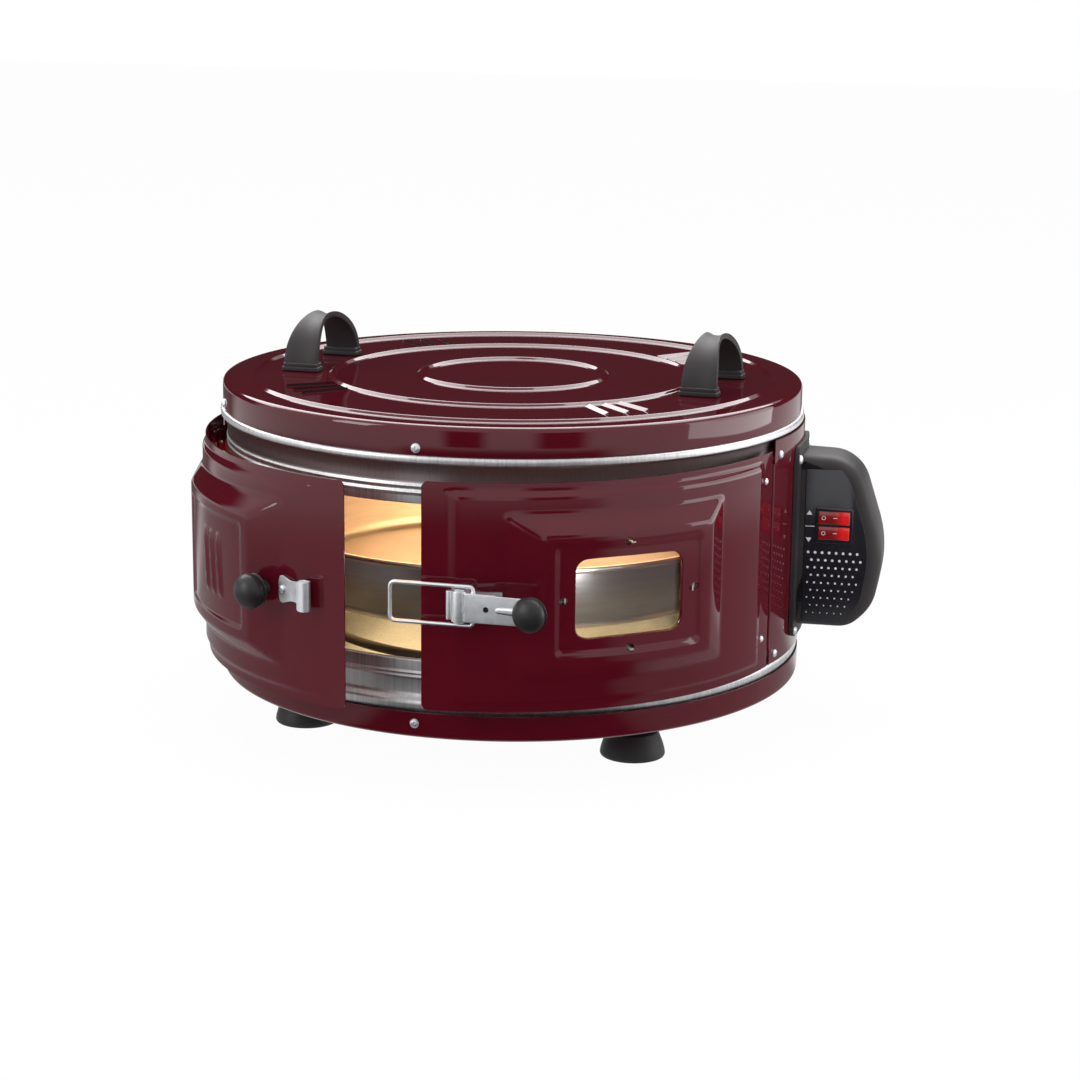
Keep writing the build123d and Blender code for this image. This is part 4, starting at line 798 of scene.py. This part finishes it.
def makeKnobs():
    k = latch["knob"]
    place = leverPlace() @ shift(latch["length"] + 3.2, -10.2, 0)
    place = place @ Matrix.Rotation(math.radians(-18), 4, "Z") @ Matrix.Rotation(math.pi / 2, 4, "X")
    spin("leverKnob", ballOutline(k, latch["knobDepth"]), place, "knob", "lever", "latch_knob",
         64, 45)
    seat = outwards(doorPlace(leftDoor, 57.5 / 180 * math.pi * 226.0, 140.0)) @ shift(0, -1.0, 15.4)
    spin("leftKnob", ballOutline(k + 0.2, 9.4, 7.4), seat, "knob", "left_door", "left_door_knob",
         64, 45)


catch = {"path": [(236.8, 3.2), (238.2, 3.2), (241.0, 3.2), (245.0, 3.2), (249.0, 3.2), (252.6, 3.3),
                  (255.6, 3.7), (258.6, 4.3), (261.6, 4.7)],
         "half": [5.5, 9.2, 9.8, 8.4, 7.3, 7.3, 8.0, 9.6, 10.4], "seat": 266.0, "lift": 8.2, "curl": 3.4,
         "thick": 1.1}


def makeCatch():  # waisted plate whose end is rolled into a hook for the wire
    k = catch
    path, half = list(k["path"]), list(k["half"])
    for a in np.radians(np.linspace(-80, 90, 12)):
        path.append((k["seat"] + k["curl"] * math.cos(a), k["lift"] + k["curl"] * math.sin(a)))
        half.append(10.5)
    for step, wide in ((1.6, 10.5), (3.2, 10.4), (4.4, 9.6)):
        path.append((k["seat"] - step, k["lift"] + k["curl"] - 0.03 * step ** 2))
        half.append(wide)
    path = np.array(path)
    along = np.gradient(path, axis=0)
    along /= np.linalg.norm(along, axis=1, keepdims=True)
    normal = np.stack([-along[:, 1], along[:, 0]], 1)
    rows = []
    for p, n, h in zip(path, normal, half):
        ring = []
        for off, wide in ((-1, h - 0.2), (-0.6, h), (0.6, h), (1, h - 0.2), (1, -h + 0.2), (0.6, -h),
                          (-0.6, -h), (-1, -h + 0.2)):
            q = p + n * off * k["thick"] / 2
            azimuth = -(drum["hinge"] - math.degrees(q[0] / door["scale"]))
            ring.append(swing(around(drum["shellRadius"] + q[1], azimuth, latch["z"] + wide), -1,
                              leftDoor["angle"]))
        rows.append(ring)
    count = len(rows)
    faces = gridFaces(count, 8, False, True) + [list(range(8)), list(range((count - 1) * 8, count * 8))[::-1]]
    piece("catchHook", np.array(rows), faces, "zinc", "left_door", "left_door_catch", 40)


def makeBail():
    x0, high, end = latch["bailReach"], latch["bailHalf"], 7.2
    lean = math.degrees(math.asin(latch["bailLength"] / 2 / latch["radius"])) + 1.0
    place = leverPlace() @ shift(x0, 0, 0) @ Matrix.Rotation(math.radians(latch["tilt"] - lean), 4, "Z")
    stops = [(0, 0, high - end), (0, 0, high), (-latch["bailLength"], 0, high),
             (-latch["bailLength"], 0, -high), (0, 0, -high), (0, 0, -high + end)]
    local = rounded([np.array(s, float) for s in stops], [0, 3.2, 4.2, 4.2, 3.2, 0], 7, False)
    tube("bailWire", carriedTo(place, local * mm) / mm, latch["wire"], "zinc", "bail", "latch_bail")


makeLever()
makeKnobs()
makeCatch()
makeBail()
print("latch made")

# Feet

foot = {"circle": 167.0, "base": 24.0, "collar": 17.0, "height": 34.0}


def makeFeet():
    b, c, h = foot["base"], foot["collar"], foot["height"]
    outline = [(3.0, 6.0), (8.0, 6.0), (8.0, 0.0), (b - 1, 0.0), (b, 1.6), (b - 0.4, 4.5), (b - 1.8, 9.5),
               (b - 3.6, 14.0), (c + 1.6, 18.6), (c + 0.2, 19.6), (c - 1.4, 19.9), (c - 1.4, 21.2),
               (c + 0.4, 21.8), (c + 0.2, 26.0), (c - 0.3, h), (3.0, h), (3.0, 6.0)]
    radii = [0, 0.5, 0.5, 1.0, 1.5, 2, 3, 3, 1.5, 0.8, 0.4, 0.4, 0.8, 1, 0.5, 0, 0]
    for name, azimuth in (("front_right", 50), ("rear_right", 130), ("rear_left", 230), ("front_left", 310)):
        centre = around(foot["circle"], azimuth, 0.0)
        spin(name + "Foot", rounded(outline, radii, 4, False), Matrix.Translation(Vector(centre)), "rubber",
             "body", name + "_foot", 72, 50)


makeFeet()
print("feet made")

# Baking tray

tray = {"bottomRadius": 176.0, "rimRadius": 190.0, "bottom": 101.0, "rim": 150.0}


def makeTray():
    b, r, low, rim = tray["bottomRadius"], tray["rimRadius"], tray["bottom"], tray["rim"]
    roll = [(r - 1.0 + 2.0 * math.cos(a), rim + 2.0 * math.sin(a) - 0.8)
            for a in np.radians(np.linspace(-70, 190, 12))]
    outline = [(0.01, low), (b - 5, low), (b, low + 5),
               (r - 2.4, rim - 3)] + roll + [(b - 1.0, low + 5.4), (b - 5.4, low + 1), (0.01, low + 1)]
    radii = [0, 4, 4, 1] + [0] * len(roll) + [3, 3, 0]
    lathe("trayShell", rounded(outline, radii, 4), "trayMetal", "tray", "baking_tray", 240,
          sharp=60)


makeTray()
print("tray made")

# Control box, in its own frame: X away from the drum, Z up, front at -Y

control = {"azimuth": 96.0, "half": 31.0, "edge": 9.5, "switchX": 250.4, "switchZ": 159.0,
           "outline": [(214, 80), (264, 80), (281, 97), (288.5, 141), (270, 198), (255, 209.5), (214, 211)],
           "radii": [0, 9, 20, 45, 20, 10, 0], "back": 20.0, "flangeHalf": 38.2, "flangeLow": 72.0,
           "flangeHigh": 218.0}
toBox = Matrix.Rotation(math.radians(control["azimuth"] - 90), 4, "Z")
facing = Matrix.Rotation(math.pi / 2, 4, "X")  # puts a flat outline in the XZ plane, thickened towards -Y


def makeBox():
    c = control
    outline = rounded(c["outline"], c["radii"], 9)
    dense = []
    for a, b in zip(outline, np.roll(outline, -1, 0)):
        n = max(1, int(np.linalg.norm(b - a) / 3))
        dense += [a + (b - a) * k / n for k in range(n)]
    place = toBox @ shift(0, c["back"], 0) @ facing
    bar("controlHousing", dense, c["half"] + c["back"], place, "black", "body", "control_box",
        c["edge"], 60)
    span = math.degrees(math.asin(c["flangeHalf"] / 223.0))
    turns = np.linspace(-span, span, 49)
    low, high = [], []
    for t in turns:
        near = max(0.0, 1 - (span - abs(t)) / 2.4)
        drop = 9.0 * (1 - math.sqrt(max(0.0, 1 - near ** 2)))
        low.append(c["flangeLow"] + drop)
        high.append(c["flangeHigh"] - drop)
    rows = []
    for t, a, b in zip(turns, low, high):
        inset = 0.8
        ring = [(223.3, a), (226.0, a), (226.6, a + inset), (226.6, b - inset), (226.0, b), (223.3, b)]
        rows.append([around(r, c["azimuth"] + t, z) for r, z in ring])
    faces = gridFaces(49, 6, False, True) + [list(range(6))[::-1], list(range(48 * 6, 49 * 6))]
    piece("controlFlange", np.array(rows), faces, "black", "body", (), 40)


def boxEdge(z):  # how far out the housing reaches at a height
    outline = rounded(control["outline"], control["radii"], 9)
    best = 214.0
    for a, b in zip(outline, np.roll(outline, -1, 0)):
        if min(a[1], b[1]) <= z <= max(a[1], b[1]) and abs(a[1] - b[1]) > 1e-6:
            best = max(best, a[0] + (b[0] - a[0]) * (z - a[1]) / (b[1] - a[1]))
    return best


def onFace(lift=0.0):
    return toBox @ shift(0, -(control["half"] + lift), 0) @ facing


def makeLabel():
    low, high = 84.0, 201.0
    zs = np.linspace(low, high, 60)
    right = [(boxEdge(z) - 10.5, z) for z in zs]
    outline = rounded([(228.5, low)] + right + [(228.5, high)], [1.5] + [2.0] * len(right) + [1.5], 3)
    bar("labelPanel", outline, 0.5, onFace(0.02), "gloss", "body", "control_label", 0.15, 40)
    face = onFace(0.53)
    for sign, z in ((1, 168.0), (-1, 147.5)):
        bar(f"arrowMark{sign + 1}", [(229.9, z - sign * 1.5), (234.1, z - sign * 1.5),
                                     (232.0, z + sign * 1.9)], 0.05, face,
            "mark", "body", ())
    bar("dividerMark", oblong(6.8, 0.5, 232.6, 157.75), 0.05, face, "mark", "body", ())
    rows = 9
    for row in range(rows):  # rows of dots that shrink towards the bottom
        z = 138.0 - row * 5.8
        edge = boxEdge(z) - 15.0
        x = 232.0 + (row % 2) * 2.6
        k = 0
        while x < edge:
            size = 1.05 - 0.075 * row
            bar(f"dotMark{row}_{k}", circle(size, 14, x, z), 0.05, face, "mark", "body", ())
            x += 5.2
            k += 1


def makeSwitch():
    c = control
    x, z = c["switchX"], c["switchZ"]
    outer = rounded(oblong(27.6, 27.0, x, z), 1.6, 4)
    bezel = bar("switchBezel", outer, 1.7, onFace(-0.1), "gloss", "body", "switch_housing",
                0.5, 40)
    for sign, node, body in ((1, "upper_rocker", "upper_rocker_key"),
                             (-1, "lower_rocker", "lower_rocker_key")):
        middle = z + sign * 5.8
        cut(bezel, blank("wellCut", oblong(24.6, 10.4, x, middle), -1.5, 3.5, onFace(0.0)))
        top = [(-11.6, 2.3), (3.6, 0.9), (11.6, 3.3)]  # face of the key: along it and outwards
        outline = rounded([(-11.6, -0.6)] + top + [(11.6, -0.6)], [0.2, 0.9, 1.2, 0.9, 0.2], 4)
        place = toBox @ shift(x, -c["half"], middle - 4.8) @ Matrix.Scale(-1, 4, (0, 1, 0))
        bar(f"rocker{sign + 1}", outline, 9.6, place, "red", body, node, 0.5, 40)
        tilt = math.atan2(0.9 - 2.3, 15.2)
        face = toBox @ shift(x, -(c["half"] + 1.72), middle) @ facing
        slant = face @ shift(-4.0, 0, 0) @ Matrix.Rotation(-tilt, 4, "Y")
        ring = np.concatenate([circle(1.5, 24), circle(1.1, 24)])
        ringPoints = np.column_stack([ring, np.zeros(48)]) * mm
        piece(f"openMark{sign + 1}", carriedTo(slant @ shift(-3.6, 0, 0.12), ringPoints),
              [[i, (i + 1) % 24, 24 + (i + 1) % 24, 24 + i] for i in range(24)], "mark", body, ())
        bar(f"closedMark{sign + 1}", [(3.4, -0.25), (6.4, -0.25), (6.4, 0.25), (3.4, 0.25)], 0.05,
            slant @ shift(0, 0, 0.1), "mark", body, ())


makeBox()
makeLabel()
makeSwitch()
print("control box made")

# Carried-over pieces keep their shape and get their finish

carried = {
    "drum_wall": "liner", "ceiling_plate": "liner", "floor_plate": "liner",
    "window_glass_frame": "galvanised", "upper_element": "hotElement", "lower_element": "coldElement",
    "tray_stand": "stand", "window_glass": "glass", "upper_element_terminals": "ceramic",
    "lower_element_terminals": "ceramic", "cord_gland": "black",
}
for name, obj in nodes.items():
    if not obj.hide_render:
        obj.data.materials.clear()
        hinge = "leaf" in name or "pin" in name
        obj.data.materials.append(finishes["enamel" if hinge else carried.get(name, "zinc")])
print("carried pieces finished")

# Floor, light and camera

stage = {"floor": 0.86, "white": 0.97, "worldLow": 0.20, "worldHigh": 0.70, "key": 26.0, "fill": 6.0,
         "top": 23.0, "bead": 204.0, "side": 7.0, "glow": 1.5, "under": 0.45, "fillInside": 0.22}


def whiteRays(nodes, share):  # 1 for camera, glossy and transmission rays, times a share
    path = nodes.node("ShaderNodeLightPath")
    rays = path["Is Camera Ray"].sum("MAXIMUM", path["Is Glossy Ray"]).sum("MAXIMUM",
                                                                           path["Is Transmission Ray"])
    return rays * share


def flat(name, points, faces, material):
    mesh = bpy.data.meshes.new(name)
    mesh.from_pydata([tuple(p) for p in np.asarray(points, float).reshape(-1, 3)], [], faces)
    obj = bpy.data.objects.new(name, mesh)
    scene.collection.objects.link(obj)
    obj.data.materials.append(material)
    return obj


def makeFloor():  # pale and lit, white where the background shows
    grey = stage["floor"]
    f = Finish("paleFloor", Base_Color=rgba(grey, grey, grey), Roughness=0.9)
    white = f.node("ShaderNodeEmission", None, {"Color": rgba(1, 1, 1)})[0]
    lit = Signal(f, f.shader.outputs[0])
    f.show(f.node("ShaderNodeMixShader", None, {0: whiteRays(f, stage["white"]), 1: lit, 2: white})[0])
    flat("studioFloor", [(-9, -9, 0), (9, -9, 0), (9, 9, 0), (-9, 9, 0)], [(0, 1, 2, 3)], f.material)


# radii from and to, azimuths from and to, heights from and to, share, soft sides and far edge, glow
flags = {
    "frontFlag": (0.232, 1.36, -28, 57, 0.0015, 0.0015, 1.0, 0.14, 0.3, 0.0),
    "rightFlag": (0.232, 1.05, 43, 130, 0.0012, 0.0012, 0.6, 0.14, 0.3, 0.0),
    "leftFlag": (0.232, 1.2, -116, -16, 0.0012, 0.0012, 0.55, 0.14, 0.3, 0.0),
    "leftRearFlag": (0.232, 2.6, -196, -110, 0.0010, 0.0010, 0.85, 0.14, 0.3, 0.0),
    "stripeFlag": (1.30, 1.30, -9, 10.5, 0.0, 0.55, 1.0, 0.3, 0.2, 0.0),
    "otherStripeFlag": (1.30, 1.30, 22.5, 46.5, 0.0, 0.55, 1.0, 0.3, 0.2, 0.0),
    "backFlag": (1.6, 1.6, 92, 272, 0.15, 0.94, 1.0, 0.05, 0.06, 0.03),
}


def makeFlag(name, inner, outer, start, end, low, high, share, softSide, softFar, glow):  # a dark card
    f = Finish(name + "Black")  # only reflections see it, and its edges fade
    black = f.node("ShaderNodeEmission", None, {"Strength": glow})[0]
    clear = f.node("ShaderNodeBsdfTransparent")[0]
    cover = f.node("ShaderNodeAttribute", {"attribute_name": "cover"})["Fac"]
    f.show(f.node("ShaderNodeMixShader", None, {0: cover, 1: clear, 2: black})[0])
    rows, cols = 21, 65
    across, out = np.linspace(0, 1, cols)[None, :], np.linspace(0, 1, rows)[:, None]
    reach = (inner + (outer - inner) * out) * 1000
    points = around(reach, start + (end - start) * across, (low + (high - low) * out) * 1000)
    card = flat(name, points, gridFaces(rows, cols), f.material)
    side = np.clip(np.minimum(across, 1 - across) / softSide, 0, 1)
    far = np.clip((1 - out) / softFar, 0, 1)
    fade = (side * side * (3 - 2 * side)) * (far * far * (3 - 2 * far)) * share
    card.data.attributes.new("cover", "FLOAT", "POINT").data.foreach_set("value", fade.ravel())
    card.visible_camera = card.visible_diffuse = card.visible_shadow = card.visible_transmission = False


def makeWorld():  # white to the camera and in reflections; a soft grey sky as light
    world = bpy.data.worlds.new("studioWorld")
    scene.world = world
    world.use_nodes = True
    world.node_tree.nodes.clear()
    n = Nodes(world.node_tree)
    low, high = stage["worldLow"], stage["worldHigh"]
    up = n.node("ShaderNodeSeparateXYZ", None, {0: n.node("ShaderNodeTexCoord")["Generated"]})["Z"]
    stops = ((0.25, rgba(low, low, low)), (0.85, rgba(high, high, high)))
    sky = n.node("ShaderNodeValToRGB", {"stops": stops}, {0: up})[0]
    light = n.node("ShaderNodeBackground", None, {"Color": sky})[0]
    white = n.node("ShaderNodeBackground", None, {"Color": rgba(1, 1, 1)})[0]
    seen = n.node("ShaderNodeMixShader", None, {0: whiteRays(n, 1.0), 1: light, 2: white})[0]
    n.node("ShaderNodeOutputWorld", None, {"Surface": seen})


def makeLamp(name, place, target, size, power, colour=(1, 1, 1)):
    data = bpy.data.lights.new(name, "AREA")
    data.shape = "RECTANGLE"
    data.size, data.size_y = size
    data.energy = power
    data.color = colour
    lamp = bpy.data.objects.new(name, data)
    lamp.location = place
    lamp.rotation_euler = (Vector(target) - Vector(place)).to_track_quat("-Z", "Y").to_euler()
    lamp.visible_camera = False
    scene.collection.objects.link(lamp)
    return lamp


def makeCamera():
    place = Vector((0.5691, -1.805, 0.5793))
    yaw, pitch, roll, turn = (math.radians(v) for v in (0.66457, 13.4434, 0.64651, 17.5))
    forward = Vector((math.sin(yaw) * math.cos(pitch), math.cos(yaw) * math.cos(pitch), -math.sin(pitch)))
    right = Vector((math.cos(yaw), -math.sin(yaw), 0))
    up = right.cross(forward)
    across = right * math.cos(roll) + up * math.sin(roll)
    upward = up * math.cos(roll) - right * math.sin(roll)
    data = bpy.data.cameras.new("photoCamera")
    data.lens = 83.63
    data.sensor_width = 36.0
    camera = bpy.data.objects.new("photoCamera", data)
    basis = Matrix((across, upward, -forward)).transposed().to_4x4()
    camera.matrix_world = Matrix.Translation(place) @ Matrix.Rotation(turn, 4, "Z") @ basis
    scene.collection.objects.link(camera)
    scene.camera = camera


makeFloor()
for name, sizes in flags.items():
    makeFlag(name, *sizes)
makeWorld()
topBox = makeLamp("topBox", (0.1, -0.35, 2.1), (0, 0, 0.2), (1.9, 1.3), stage["top"])
topBox.visible_glossy = False
beadBox = makeLamp("beadBox", (-0.95, 1.5, 1.7), (-0.95, 1.5, 0.0), (4.5, 2.4), stage["bead"])
beadBox.visible_diffuse = False  # a highlight for the lid's raised rings
makeLamp("sideBox", tuple(around(1250.0, 107.0, 330.0)), (0, 0, 0.33), (1.1, 0.66), stage["side"])
makeLamp("floorGlow", (0, 0, 0.0985), (0, 0, 0), (0.28, 0.28), stage["under"], (1.0, 0.72, 0.36))
makeLamp("trayFill", tuple(around(206.0, 20.0, 140.0)), (0, 0, 0.128), (0.12, 0.05), stage["fillInside"])
makeLamp("keyBox", (-1.9, -1.9, 1.2), (0, 0, 0.15), (0.8, 1.5), stage["key"])
rightStrip = makeLamp("rightStrip", (1.9, -1.1, 0.9), (0, 0, 0.15), (0.35, 1.4), stage["fill"])
rightStrip.visible_glossy = False
makeLamp("elementGlow", (0, 0, 0.222), (0, 0, 0.1), (0.26, 0.26), stage["glow"], (1.0, 0.62, 0.28))
makeCamera()
scene.view_settings.view_transform = "Standard"
print("stage, light and camera set")
